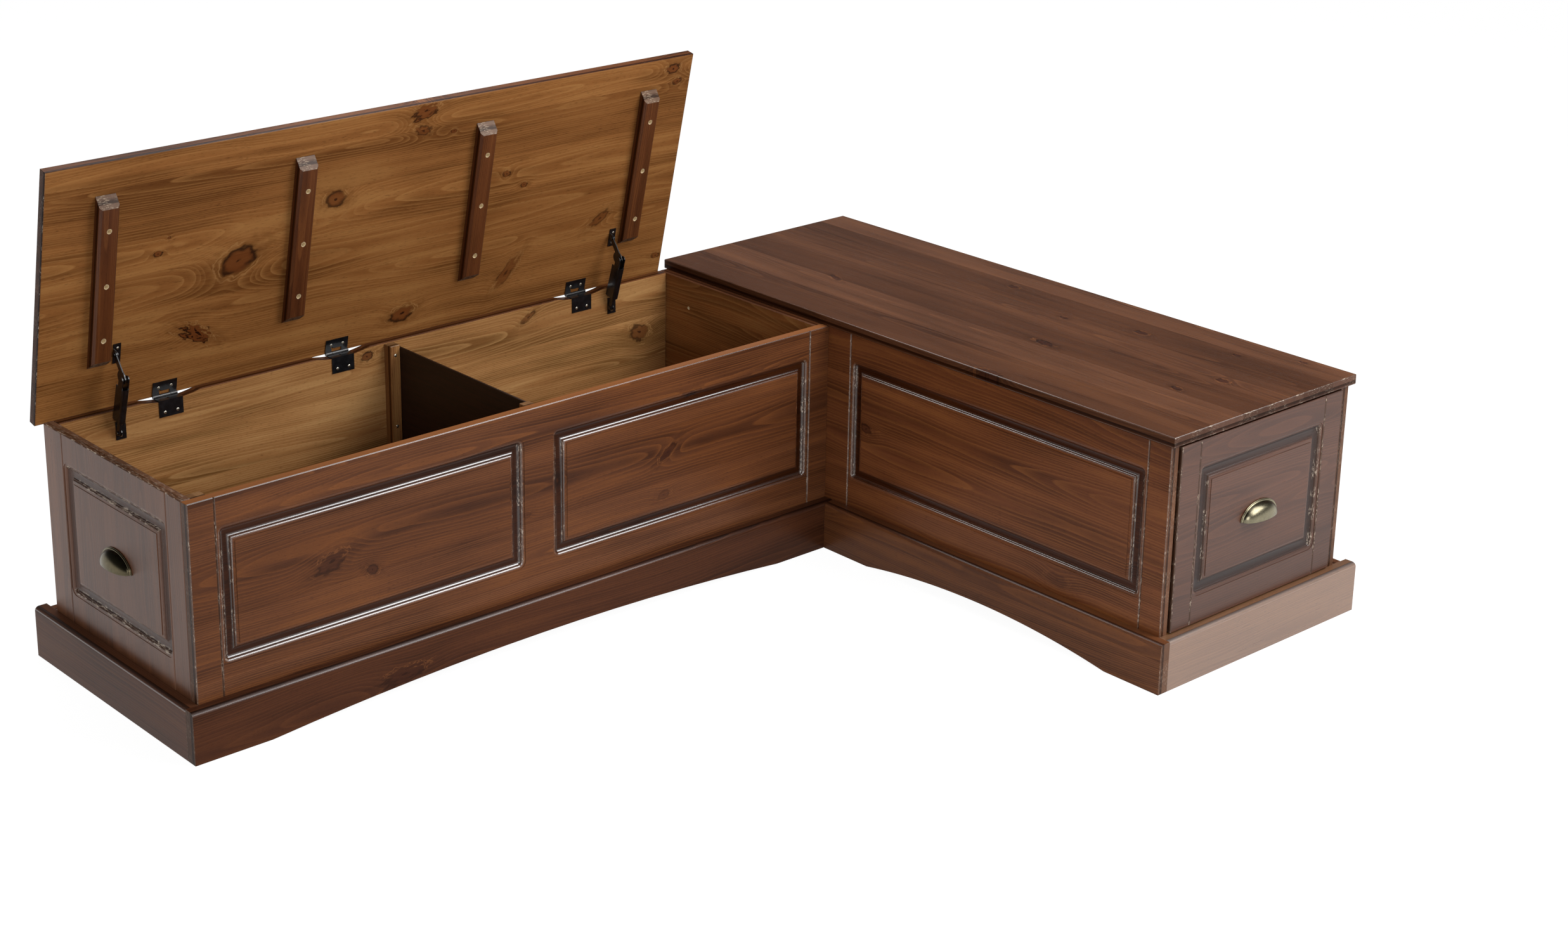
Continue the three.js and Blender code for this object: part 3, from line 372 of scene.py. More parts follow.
# How squarely a face looks out of the board: flat faces, moulded slopes and square edges
FLAT_FACE = (0.93, 0.995)
SQUARE_EDGE = (0.02, 0.1)
LACQUER = {"Coat Roughness": 0.26, "Coat IOR": 2.4}
GRAIN_BUMP = {"Strength": 0.3, "Distance": 0.0003}
BARE_HOLE = "e6d2ab"
# Where the clouds turn dark, where they turn pale, and where the fibres do
DARK_CLOUD, PALE_CLOUD, PALE_FIBRE = (0.46, 0.62), (0.36, 0.48), (0.5, 0.8)
# How much is seen of pale clouds, late wood lines, pale fibres, flecks and cut ends
CLOUD_SHARE, LATE_SHARE, FIBRE_SHARE, FLECK_SHARE, END_SHARE = 0.6, 0.75, 0.45, 0.55, 0.55
# How much of each knot mark is seen, and the stain's colour it takes
KNOT_SHADES = (
    ("Smudge", 0.7, "deep"), ("Halo", 0.7, "halo"), ("Core", 0.8, "knot"), ("Rim", 0.95, "rim"))
# Darker wood is also redder: the powers of the level that green and blue follow
GREEN_POWER, BLUE_POWER = 1.2, 1.4
# How far below the board's top, in metres, its edge loses gloss, and how far its flat is
# painted paler, as painted light on the top face
TOP_EDGE, TOP_FLAT = (0.004, 0.003), (0.0012, 0.0004)
# How far a face turns up or down before its lacquer is the ledge's or the under side's
TURNED = (0.02, 0.35)

# Knots: along and across the board from its low corner, radius, stretch, turn, ragged, swirl, depth
FRONT_PANEL_KNOTS = (
    (252, 227, 13, 1.9, 20, 0.55, 1.0, 0.55), (329, 194, 8, 1.3, -20, 0.2, 1.5, 0.6),
    (948, 242, 7, 2.8, 35, 0.4, 0.8, 0.7), (1004, 336, 5, 2.0, 0, 0.6, 1.0, 0.8),
    (939, 164, 8, 1.6, 10, 0.4, 1.0, 0.3), (640, 205, 5, 1.5, 0, 0.4, 1.0, 0.3))
LID_KNOTS = (
    (210, 271, 5, 1.6, 0, 0.3, 1.3, 0.9), (364, 226, 21, 1.55, 22, 0.3, 1.3, 0.9),
    (229, 297, 2.5, 1.2, 0, 0.2, 1.0, 0.8), (550, 305, 14, 1.25, 0, 0.25, 1.5, 0.8),
    (293, 104, 12, 2.2, -25, 1.3, 1.2, 1.0), (717, 44, 13, 1.7, 10, 0.35, 1.3, 0.9),
    (720, 440, 12, 1.9, 15, 0.8, 1.2, 0.85), (720, 405, 9, 1.7, -15, 0.8, 1.2, 0.7),
    (786, 392, 4, 1.4, 0, 0.5, 1.3, 0.95), (916, 285, 6, 1.3, 0, 0.4, 1.2, 0.8),
    (959, 255, 5, 1.4, 0, 0.4, 1.2, 0.8), (1278, 434, 9, 1.6, 0, 0.5, 1.2, 0.85),
    (1292, 406, 6, 1.5, 20, 0.5, 1.2, 0.8), (1152, 149, 9, 2.4, 30, 0.6, 1.0, 0.6),
    (947, 81, 10, 3.0, 50, 0.6, 1.1, 0.6), (1308, 38, 6, 1.5, 0, 0.4, 1.0, 0.7))
BACK_PANEL_KNOTS = (
    (601, 374, 8, 1.5, 10, 0.4, 1.2, 0.9), (1226, 285, 15, 1.35, -15, 0.5, 1.3, 0.75),
    (958, 371, 6, 2.6, 30, 0.5, 1.0, 0.7))
WING_PANEL_KNOTS = ((690, 222, 8, 1.6, 10, 0.4, 1.1, 0.7), (225, 85, 10, 2.0, 0, 0.4, 1.2, 0.25))
SEAT_KNOTS = (
    (123, 275, 7, 1.6, 0, 0.4, 1.3, 0.9), (149, 185, 6, 1.6, 15, 0.4, 1.3, 0.9),
    (191, 399, 5, 1.4, 0, 0.4, 1.2, 0.8), (704, 390, 7, 1.5, 0, 0.4, 1.2, 0.8),
    (521, 324, 5, 1.6, 0, 0.4, 1.3, 0.9), (449, 191, 8, 2.4, 5, 0.5, 1.2, 1.0),
    (376, 366, 7, 1.8, 0, 0.4, 1.4, 0.9), (94, 457, 5, 1.4, 0, 0.3, 1.2, 0.7),
    (404, 2, 11, 2.0, 0, 0.5, 1.5, 0.6), (959, 173, 6, 2.6, 20, 0.4, 1.0, 0.7))
PLINTH_KNOTS = ((390, 34, 12, 3.0, 8, 0.8, 0.8, 0.5),)


def pine(name, along, across, origin, stain, seed, stave=75, ring=3.2, knots=(), wander=1.0,
         inner=None, inner_stain=HONEY, gloss=0.1, ledge=0.85, under=0.1, bare_holes=None,
         top=None, top_gloss=0.4, contrast=0.75, hollow_stain_and_shade=0.72, ior=1.5, tear=(0.75, 1.0, 0.0),
         painted_top_light=0.0):
    """The material of one board. Its pattern is fixed to the board's own corner and grain.
    The side that faces inner takes the inner stain. gloss is the lacquer's on flat faces, and
    ledge and under are its thickness where mouldings and arrises face up and down. At the
    board's top edge, at the height top, that is cut to the share top_gloss, and rubbed is how
    much paler the flat of that edge is painted, as painted light. contrast is how strongly
    clouds and bands show, hollow how dark the mouldings are at their deepest, partly pooled
    stain and partly painted shade, ior the lacquer's, and tear how pale, how coarse and how
    widely spread the torn fibres are."""
    material, t = new_material(name)
    grain, broad = Vector(AXES[along]), Vector(AXES[across])
    through = grain.cross(broad)
    turn = Matrix((grain, broad, through)).transposed().to_euler()
    place = t.node("ShaderNodeTexCoord").outputs
    board = t.node("ShaderNodeMapping", {"Vector": place["Object"]}, vector_type="TEXTURE")
    board.inputs["Location"].default_value = Vector(origin) * MM
    board.inputs["Rotation"].default_value = turn
    point = board.outputs[0]
    marks = NO_MARKS
    for x, y, radius, stretch, angle, ragged, swirl, depth in knots:
        centre = t.node("ShaderNodeCombineXYZ", {0: x * MM, 1: y * MM}).outputs[0]
        sockets = {
            "Point": point, "Centre": centre, "Radius": radius * MM, "Stretch": stretch,
            "Turn": math.radians(-angle), "Ragged": ragged, "Swirl": swirl, "Depth": depth, **marks}
        knot = t.group(KNOT, sockets)
        marks = {mark: knot[mark] for mark in marks}
    figure = t.group(PINE_FIGURE, {
        "Point": point, "Stave Width": stave * MM, "Seed": seed, "Ring Width": ring * MM,
        "Wander": wander, "Knot Push": marks["Push"]})
    late, fibre, cloud, fleck = (figure[key] for key in ("Late Wood", "Fibre", "Cloud", "Fleck"))
    torn_share, speck_size, spread = tear
    cut = t.group(CUT_FIBRE, {
        "Point": point, "Facing": place["Normal"], "Grain": tuple(grain),
        "Speck Size": speck_size, "Spread": spread})
    end, torn = cut["End Grain"], cut["Torn"]
    shades = {key: hex_colour(value) for key, value in stain.items() if key not in ("slot", "rough")}
    if inner:
        facing_in = t.vector("DOT_PRODUCT", place["Normal"], inner, out=1)
        inside = t.step(facing_in, 0.75, 0.9)
        shades = {
            key: t.mix(inside, value, hex_colour(inner_stain[key])) for key, value in shades.items()}

    colour = t.mix(t.step(cloud, *DARK_CLOUD, 0.0, contrast), shades["ground"], shades["deep"])
    colour = t.mix(t.step(cloud, *PALE_CLOUD, CLOUD_SHARE * contrast, 0.0), colour, shades["line"])
    colour = t.mix(t.times(late, LATE_SHARE), colour, shades["line"])
    colour = t.mix(t.step(fibre, *PALE_FIBRE, 0.0, FIBRE_SHARE), colour, shades["line"])
    colour = t.mix(t.times(fleck, FLECK_SHARE), colour, shades["fleck"])
    if knots:
        for mark, share, shade in KNOT_SHADES:
            colour = t.mix(t.times(marks[mark], share), colour, shades[shade])
    colour = t.mix(t.times(end, END_SHARE), colour, shades["end"])
    on_x, on_y, depth = t.split(point)
    depth = t.maths("ABSOLUTE", depth)
    # Painted shade, partly pooled stain: the routed hollows turn darker with depth, down to the hollow
    # share
    routing_stain_and_shade = t.times(t.step(depth, *ROUTING, 0.0, hollow_stain_and_shade), t.step(depth, *BEYOND_ROUTING, 1.0, 0.0))
    lean = t.maths("ABSOLUTE", t.vector("DOT_PRODUCT", place["Normal"], tuple(through), out=1))
    torn = t.times(torn, t.step(lean, *SQUARE_EDGE, 0.2, 1.0))
    tone = t.times_plus(figure["Stave Tone"], 0.42, 0.77)
    seam = t.times_plus(figure["Joint"], -0.15, 1.0)
    level = t.times(t.times(tone, seam), t.minus(1.0, routing_stain_and_shade))
    warmth = t.join(level, t.maths("POWER", level, GREEN_POWER), t.maths("POWER", level, BLUE_POWER))
    colour = t.vector("MULTIPLY", colour, warmth)
    colour = t.mix(t.times(torn, torn_share), colour, shades["torn"])
    if top:
        height_here = t.split(place["Object"])[2]
    # Painted light: the flat of the board's top edge is painted paler, toward the halo colour, to look more
    # lit
    if painted_top_light:
        flat_top = t.step(height_here, *(top - below for below in TOP_FLAT))
        painted_top_light_share = t.times(flat_top, t.step(lean, *SQUARE_EDGE, 1.0, 0.0))
        colour = t.mix(t.times(painted_top_light_share, painted_top_light), colour, hex_colour(stain["halo"]))
    if bare_holes:
        first, spacing, middle, radius = bare_holes
        steps = t.over(t.minus(on_x, first * MM), spacing * MM)
        nearest = t.times(t.minus(steps, t.maths("ROUND", steps)), spacing * MM)
        reach = t.length(nearest, t.minus(on_y, middle * MM))
        reach = t.plus(reach, t.times(t.noise(point, 600.0), 0.001))
        bare = t.step(reach, (radius + 0.5) * MM, (radius + 1.0) * MM, 1.0, 0.0)
        colour = t.mix(bare, colour, hex_colour(BARE_HOLE))
    rough = t.plus(t.times_plus(fibre, 0.14, stain["rough"] - 0.07), t.times(torn, 0.1))
    if inner:
        rough = t.times_plus(inside, 0.25, rough)
    height = t.plus(t.times(late, 0.4), t.times(fibre, 0.5))
    for mark, share in ((fleck, -0.8), (torn, 2.4), (marks["Rim"], -1.2)):
        height = t.plus(height, t.times(mark, share))
    bump = t.node("ShaderNodeBump", dict(GRAIN_BUMP, Height=height))
    shaped = t.times(t.step(lean, *FLAT_FACE, 1.0, 0.0), t.step(lean, *SQUARE_EDGE))
    rough = t.times_plus(shaped, 0.35, rough)
    facing_up = t.split(place["Normal"])[2]
    side = 0.3 * (ledge + under)
    upper = t.step(facing_up, *TURNED, 0.0, ledge - side)
    lower = t.step(facing_up, -TURNED[1], -TURNED[0], under - side, 0.0)
    coat = t.times(shaped, t.plus(side, t.plus(upper, lower)))
    if top:
        coat = t.times(coat, t.step(height_here, *(top - below for below in TOP_EDGE), 1.0, top_gloss))
    shader = t.node("ShaderNodeBsdfPrincipled", {
        "Base Color": colour, "Roughness": rough, "Normal": bump.outputs[0],
        "Specular IOR Level": gloss, "IOR": ior, "Coat Weight": coat, **LACQUER})
    t.node("ShaderNodeOutputMaterial", {0: shader.outputs[0]})
    return material


def low_corner(node):
    return tuple(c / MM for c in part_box(node)[0])


TO_RIGHT, TO_LEFT = (1.0, 0.0, 0.0), (-1.0, 0.0, 0.0)
TO_BACK, TO_FRONT = (0.0, 1.0, 0.0), (0.0, -1.0, 0.0)
# A row of bare holes: the first one along the board, their spacing, across it, their radius.
# The right end has only one, so its spacing runs past the board
PEG_HOLE = (349.1, 1000.0, 336.5, 3.2)

# Each board: the way its grain runs, the way its staves lie, stain, seed, stave width, more
BOARDS = {
    "chest_front_panel": ("x", "z", WALNUT, 11, 98, dict(
        knots=FRONT_PANEL_KNOTS, inner=TO_BACK, ledge=1.0, under=0.12, top_gloss=0.85, painted_top_light=0.75)),
    "chest_left_end_panel": ("z", "y", END_STAIN, 12, 72, dict(
        inner=TO_RIGHT, gloss=0.34, ledge=0.35, under=0.06, hollow_stain_and_shade=0.5, tear=(1.0, 2.0, 0.16))),
    "chest_right_end_panel": ("y", "z", WALNUT, 13, 80, dict(inner=TO_LEFT, bare_holes=PEG_HOLE)),
    "chest_back_panel": ("x", "z", WALNUT, 14, 82, dict(
        knots=BACK_PANEL_KNOTS, inner=TO_FRONT, inner_stain=LIGHT_PAINTED_BACK_STAIN, top_gloss=0.03, contrast=1.0)),
    "chest_bottom_board": ("x", "y", HONEY, 15, 90, {}),
    "divider_back_batten": ("z", "x", DIVIDER_STAIN, 16, 30, {}),
    "divider_front_batten": ("z", "x", DIVIDER_STAIN, 17, 30, {}),
    "corner_block_front_left": ("z", "x", DIVIDER_STAIN, 18, 40, {}),
    "front_plinth": ("x", "z", PLINTH_STAIN, 22, 120, dict(
        knots=PLINTH_KNOTS, gloss=0.06, ledge=0.35)),
    "side_plinth": ("y", "z", WALNUT, 23, 120, dict(ledge=0.4)),
    "left_end_plinth": ("y", "z", LEFT_PLINTH_STAIN, 24, 120, dict(gloss=0.1)),
    "drawer_end_plinth": ("x", "z", SHEEN_PAINTED_PLINTH_STAIN, 25, 120, dict(
        gloss=1.0, contrast=0.5, ior=1.62)),
    "back_base_rail": ("x", "z", WALNUT, 26, 120, {}),
    "outer_base_rail": ("y", "z", WALNUT, 27, 120, {}),
    "wing_inner_panel": ("y", "z", WING_STAIN, 28, 86, dict(knots=WING_PANEL_KNOTS, inner=TO_RIGHT)),
    "wing_outer_panel": ("y", "z", WALNUT, 29, 86, dict(inner=TO_LEFT)),
    "wing_back_panel": ("x", "z", WALNUT, 30, 86, dict(inner=TO_FRONT)),
    "wing_bottom_board": ("y", "x", HONEY, 31, 90, {}),
    "wing_seat_board": ("y", "x", SEAT_STAIN, 32, 80, dict(knots=SEAT_KNOTS, gloss=0.05)),
    "drawer_runner_left": ("y", "z", HONEY, 33, 60, {}),
    "drawer_runner_right": ("y", "z", HONEY, 34, 60, {}),
    "drawer_front": ("x", "z", DRAWER_STAIN, 35, 92, dict(
        inner=TO_BACK, inner_stain=BARE_PINE, gloss=0.42, ledge=0.14, under=0.1, contrast=0.6)),
    "drawer_side_left": ("y", "z", BARE_PINE, 36, 90, {}),
    "drawer_side_right": ("y", "z", BARE_PINE, 37, 90, {}),
    "drawer_back": ("x", "z", BARE_PINE, 38, 90, {}),
    "drawer_bottom": ("x", "y", BARE_PINE, 39, 110, {}),
}
BODY_OF = {node: body for body, nodes in frame["record"]["behaviour"]["bodies"].items() for node in nodes}

# What tells a board's arrises from its flat and moulded faces
ON_LIMIT = 0.06 * MM
SAME_POINT = 2e-6
FLAT_ANGLE = math.radians(0.5)
SOFT_ANGLE = math.radians(40)
OUTER_ARRIS = 2.4


def axes_at_limits(point, low, high):
    """Which of the board's own limits a point lies on."""
    return {
        (i, side) for i in range(3) for side, limit in ((0, low[i]), (1, high[i]))
        if abs(point[i] - limit) < ON_LIMIT}


def finer(node, name, material, along="x", across="y", arris=0.9, segments=2, outer=None):
    """A copy of a CAD node with joined triangles, smooth curves and lightly rounded arrises.
    The arrises of the side that faces outer are rounded more."""
    mesh = frame["nodes"][node].data.copy()
    mesh.name = name
    mesh.materials.clear()
    mesh.materials.append(material)
    bm = bmesh.new()
    bm.from_mesh(mesh)
    bmesh.ops.remove_doubles(bm, verts=bm.verts, dist=SAME_POINT)
    bmesh.ops.dissolve_limit(bm, angle_limit=FLAT_ANGLE, verts=bm.verts, edges=bm.edges)
    grain, broad = Vector(AXES[along]), Vector(AXES[across])
    own = Matrix((grain, broad, grain.cross(broad)))
    places = {v: own @ v.co for v in bm.verts}
    low = [min(p[i] for p in places.values()) for i in range(3)]
    high = [max(p[i] for p in places.values()) for i in range(3)]
    weight = bm.edges.layers.float.new("bevel_weight_edge")
    shown = None
    if outer:
        way = own @ Vector(outer)
        axis = max(range(3), key=lambda i: abs(way[i]))
        shown = (axis, 1 if way[axis] > 0 else 0)
    widest = OUTER_ARRIS if outer else arris
    for edge in bm.edges:
        turn = edge.calc_face_angle(0.0)
        edge.smooth = turn < SOFT_ANGLE
        a, b = (axes_at_limits(places[v], low, high) for v in edge.verts)
        if arris and len(a & b) >= 2 and turn > SOFT_ANGLE:
            edge[weight] = 1.0 if shown in a & b else arris / widest
    for face in bm.faces:
        face.smooth = True
        face.material_index = 0
    bm.to_mesh(mesh)
    bm.free()
    piece = new_object(name, mesh)
    if arris:
        bevel = piece.modifiers.new("arris", "BEVEL")
        bevel.width = widest * MM
        bevel.segments = segments
        bevel.limit_method = "WEIGHT"
    flat = piece.modifiers.new("flat_faces_stay_flat", "WEIGHTED_NORMAL")
    flat.keep_sharp = True
    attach(piece, BODY_OF[node])
    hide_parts(node)
    return piece


for node, (along, across, stain, seed, stave, more) in BOARDS.items():
    more.update(top=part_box(node)[1][2])
    material = pine(f"pine_{node}", along, across, low_corner(node), stain, seed, stave, **more)
    outer = tuple(-c for c in more["inner"]) if "inner" in more else None
    finer(node, f"board_{node}", material, along, across, outer=outer, segments=3)

LID_ORIGIN = (LID_LEFT, *HINGE_AXIS)
lid_pine = pine("pine_lid", "x", "lid", LID_ORIGIN, LID_STAIN, 41, 84, ring=3.4, wander=1.2,
                knots=LID_KNOTS, inner=OUT_OF_UNDERSIDE, inner_stain=LID_INSIDE_STAIN,
                gloss=0.05, ledge=0.15, contrast=1.0)
finer("chest_lid", "board_lid", lid_pine, "x", "lid")
for i, centre in enumerate(BATTEN_CENTRES, 1):
    origin = (centre, *HINGE_AXIS)
    holes = (BATTEN_SCREWS[0], BATTEN_SCREWS[1] - BATTEN_SCREWS[0], 0.0, BATTEN_HOLE_RADIUS)
    batten_pine = pine(f"pine_batten_{i}", "lid", "x", origin, BATTEN_STAIN, 50 + i, 60,
                       ring=3.0, bare_holes=holes, ledge=0.1)
    finer(f"lid_batten_{i}", f"batten_{i}", batten_pine, "lid", "x", arris=0.6)


def fibre_board():
    """The thin sheet between the two halves of the chest: dark, with faint fine streaks."""
    material, t = new_material("divider_fibre_board")
    place = t.node("ShaderNodeTexCoord").outputs["Object"]
    streaks = t.node("ShaderNodeMapping", {"Vector": place})
    streaks.inputs["Scale"].default_value = (300.0, 12.0, 300.0)
    fibre = t.noise(streaks.outputs[0], 1.0, 4.0, 0.6)
    colour = t.mix(t.step(fibre, 0.3, 0.7), hex_colour("1a0d08"), hex_colour("2f1b10"))
    bump = t.node("ShaderNodeBump", dict(GRAIN_BUMP, Height=fibre))
    rough = t.times_plus(fibre, 0.2, 0.42)
    shader = t.node("ShaderNodeBsdfPrincipled", {
        "Base Color": colour, "Roughness": rough, "Normal": bump.outputs[0],
        "Specular IOR Level": 0.35})
    t.node("ShaderNodeOutputMaterial", {0: shader.outputs[0]})
    return material


finer("divider_sheet", "board_divider_sheet", fibre_board(), "z", "y", arris=0.4)


def metal(name, base, wear_and_shade, rough, spread, patch_size, metallic=1.0, coat=0.0, attribute=None):
    """A metal finish with fine dust and wear. The second colour comes through in patches, of a
    size in mm, as wear, or follows the mesh's attribute, where it is painted shade on the
    screws' crosses and tarnish with painted shade on the pulls. spread is how much rough varies."""
    material, t = new_material(name)
    place = t.node("ShaderNodeTexCoord").outputs["Object"]
    patches = t.noise(place, 1.0 / (patch_size * MM), 4.0, 0.6)
    grains = t.noise(place, 1800.0, 2.0, 0.6)
    share = t.step(patches, 0.42, 0.7)
    if attribute:
        darkening = t.node("ShaderNodeAttribute", attribute_name=attribute).outputs["Fac"]
        share = t.plus(darkening, t.times(t.minus(patches, 0.5), 0.5), clamp=True)
    colour = t.mix(share, hex_colour(base), hex_colour(wear_and_shade))
    level = t.times_plus(grains, 0.3, 0.85)
    colour = t.vector("MULTIPLY", colour, t.join(level, level, level))
    roughness = t.plus(rough, t.times(grains, spread))
    bump = t.node("ShaderNodeBump", {"Strength": 0.2, "Distance": 0.0001, "Height": grains})
    shader = t.node("ShaderNodeBsdfPrincipled", {
        "Base Color": colour, "Roughness": roughness, "Metallic": metallic,
        "Normal": bump.outputs[0], "Coat Weight": coat, "Coat Roughness": 0.1})
    t.node("ShaderNodeOutputMaterial", {0: shader.outputs[0]})
    return material


BLACK_ENAMEL = metal("black_enamelled_steel", "0b0b0d", "17171a", 0.24, 0.12, 9, metallic=0.0, coat=0.5)
PIN_STEEL = metal("hinge_pin_steel", "3a3a3c", "5a5854", 0.3, 0.15, 4)
# The screws' darker colour follows the recess mark: painted shade on each head's cross
SCREW_STEEL = metal("zinc_screw", "dcd8cb", "a39b84", 0.26, 0.15, 3, attribute="recess")
# Pewter for the pulls: the dark colour follows the patina mark, tarnish with painted shade at the dome's
# top
PEWTER = metal("antique_pewter", "a29a80", "2a2720", 0.2, 0.16, 7, attribute="patina_and_painted_shade")
# The end pull's pewter: a darker copy of the same finish, painted shade for that pull's darker reflections
SHADED_PEWTER = metal("shaded_antique_pewter", "6e654f", "15130e", 0.16, 0.16, 7, attribute="patina_and_painted_shade")

for i in (1, 2, 3):
    for leaf in ("hinge_box_leaf", "hinge_lid_leaf"):
        finer(f"{leaf}_{i}", f"{leaf}_black_{i}", BLACK_ENAMEL, arris=0.25)
    finer(f"hinge_pin_{i}", f"hinge_pin_turned_{i}", PIN_STEEL, arris=0)
for side in ("left", "right"):
    for part in ("stay_box_bracket", "stay_lid_bracket", "stay_arm", "stay_housing"):
        finer(f"{part}_{side}", f"{part}_black_{side}", BLACK_ENAMEL, arris=0.2)


def tube(points, radii, around=12):
    """A closed round bar through the points, with rounded ends. Returns vertices and faces."""
    vertices, faces = [], []
    path = [Vector(p) for p in points]
    for i, centre in enumerate(path):
        ahead = (path[min(i + 1, len(path) - 1)] - path[max(i - 1, 0)]).normalized()
        side = ahead.cross(Vector((0.0, 1.0, 0.0)))
        side = side.normalized() if side.length > 1e-6 else Vector((1.0, 0.0, 0.0))
        other = ahead.cross(side)
        for k in range(around):
            angle = 2 * math.pi * k / around
            vertices.append(centre + (side * math.cos(angle) + other * math.sin(angle)) * radii[i])
    for i in range(len(path) - 1):
        for k in range(around):
            a, b = i * around + k, i * around + (k + 1) % around
            faces.append((a, b, b + around, a + around))
    faces.append(tuple(reversed(range(around))))
    faces.append(tuple(range((len(path) - 1) * around, len(path) * around)))
    return vertices, faces


def rounded_ends(count, radius):
    """Radii of a bar that swells quickly from each end."""
    swell = (0.55, 0.85, 1.0)
    return [radius * swell[min(i, count - 1 - i, 2)] for i in range(count)]


# The beads round the cup: out from its outline, off the board, radius and how much of the dark colour it
# takes
PULL_BEADS = ((1.2, 2.0, 1.55, 0.04), (3.1, 0.95, 0.85, 0.22))
# The plate behind them: out from the outline, its back and front off the board, how much dark colour it
# takes
PULL_PLATE = (3.2, 0.05, 0.9, 0.85)
# The lip's bar: in from the cup's ends, in from its reach, radius and how much dark colour it takes
PULL_LIP = (0.9, 1.0, 0.95, 0.1)
CUP_FULLNESS = 0.9


def dome_point(around, down, shrink):
    """A point of the cup's skin: around from end to end, down from the wall to the open lip.
    It flares a little at the wall."""
    half, reach, height = (s - shrink for s in (PULL_HALF_WIDTH, PULL_REACH, PULL_HEIGHT))
    spread = math.sin(around) ** CUP_FULLNESS
    flare = 1.0 + 0.05 * max(0.0, 1.0 - down / 0.22) ** 2
    return Vector((
        half * math.cos(around),
        -reach * spread * math.sin(down),
        height * spread * math.cos(down) * flare))


def cup_pull_shape():
    """The cup in its own frame: it faces -Y, its back is on y = 0 and its open side on z = 0."""
    across_steps, down_steps, rim_steps = 56, 26, 48
    vertices, faces, darkenings = [], [], []

    def add(points, polygons, darkening):
        first = len(vertices)
        for p in points:
            vertices.append(Vector(p))
            darkenings.append(darkening(Vector(p)) if callable(darkening) else darkening)
        faces.extend(tuple(first + i for i in polygon) for polygon in polygons)

    def skin_darkening(p):
        """How dark the skin is: most at the wall, partly tarnish and partly painted shade, then at the ends
        and a little at the lip.
        """
        down = math.atan2(-p.y / PULL_REACH, max(p.z, 1e-6) / PULL_HEIGHT)
        # Painted shade with some tarnish: the dome is darkest at its top, by the wall, and lighter down
        # towards the lip
        rim_shade = max(0.0, 1.0 - down / 0.95) * 0.85
        lip_shade = 0.18 * max(0.0, (down - 1.2) / 0.37)
        end_shade = 0.35 * (abs(p.x) / PULL_HALF_WIDTH) ** 6
        return min(1.0, 0.2 + rim_shade + lip_shade + end_shade)

    outer, inner = (
        [dome_point(math.pi * i / across_steps, math.pi / 2 * j / down_steps, shrink)
         for i in range(1, across_steps) for j in range(down_steps + 1)]
        for shrink in (0.0, PULL_WALL))
    row, columns = down_steps + 1, across_steps - 1
    e = len(outer)
    polygons = []
    for i in range(columns - 1):
        for j in range(down_steps):
            a, b = i * row + j, i * row + j + 1
            c, d = b + row, a + row
            polygons.append((a, b, c, d))
            polygons.append((e + d, e + c, e + b, e + a))
    for i in range(columns - 1):
        a, d = i * row, (i + 1) * row
        polygons.append((e + a, a, d, e + d))
        a, d = i * row + down_steps, (i + 1) * row + down_steps
        polygons.append((a, e + a, e + d, d))
    for i in (0, columns - 1):
        for j in range(down_steps):
            a, b = i * row + j, i * row + j + 1
            edge = (b, a, e + a, e + b)
            polygons.append(edge if i == 0 else tuple(reversed(edge)))
    add(outer + inner, polygons, skin_darkening)

    count = rim_steps + 1
    angles = [math.pi * i / rim_steps for i in range(count)]

    def outline(offset, depth, lowest):
        return [((PULL_HALF_WIDTH + offset) * math.cos(angle), -depth,
                 max(lowest, (PULL_HEIGHT + offset) * math.sin(angle))) for angle in angles]

    for offset, depth, radius, darkening in PULL_BEADS:
        add(*tube(outline(offset, depth, 0.9), rounded_ends(count, radius)), darkening)
    in_from_end, in_from_reach, radius, darkening = PULL_LIP
    lip = [((PULL_HALF_WIDTH - in_from_end) * math.cos(angle),
            -(PULL_REACH - in_from_reach) * math.sin(angle) ** CUP_FULLNESS, radius) for angle in angles]
    add(*tube(lip, rounded_ends(count, radius), 8), darkening)
    offset, rear, face, darkening = PULL_PLATE
    back, front = outline(offset, rear, 0.05), outline(offset, face, 0.05)
    polygons = [tuple(range(count)), tuple(reversed(range(count, 2 * count)))]
    for i in range(count):
        k = (i + 1) % count
        polygons.append((k, i, count + i, count + k))
    add(back + front, polygons, darkening)
    return vertices, faces, darkenings


def cup_pull(name, node, finish, turn):
    """A finished cup pull at its place: the cast cup, its beaded rim and its lip."""
    vertices, faces, darkenings = cup_pull_shape()
    low, high = (Vector(corner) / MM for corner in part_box(node))
    middle = (low + high) / 2
    place = (high.x, middle.y, low.z) if turn else (middle.x, high.y, low.z)
    matrix = Matrix.Translation(Vector(place) * MM) @ Matrix.Rotation(turn, 4, "Z") @ Matrix.Scale(MM, 4)
    mesh = bpy.data.meshes.new(name)
    mesh.from_pydata([matrix @ v for v in vertices], [], faces)
    patina_and_painted_shade = mesh.attributes.new("patina_and_painted_shade", "FLOAT", "POINT")
    patina_and_painted_shade.data.foreach_set("value", darkenings)
    bm = bmesh.new()
    bm.from_mesh(mesh)
    bmesh.ops.recalc_face_normals(bm, faces=bm.faces)
    for face in bm.faces:
        face.smooth = True
    for edge in bm.edges:
        edge.smooth = edge.calc_face_angle(0.0) < math.radians(50)
    bm.to_mesh(mesh)
    bm.free()
    mesh.materials.append(finish)
    piece = new_object(name, mesh)
    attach(piece, BODY_OF[node])
    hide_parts(node)
    return piece


cup_pull("cup_pull_on_drawer", "drawer_cup_pull", PEWTER, 0.0)
cup_pull("cup_pull_on_end", "end_cup_pull", SHADED_PEWTER, -math.pi / 2)


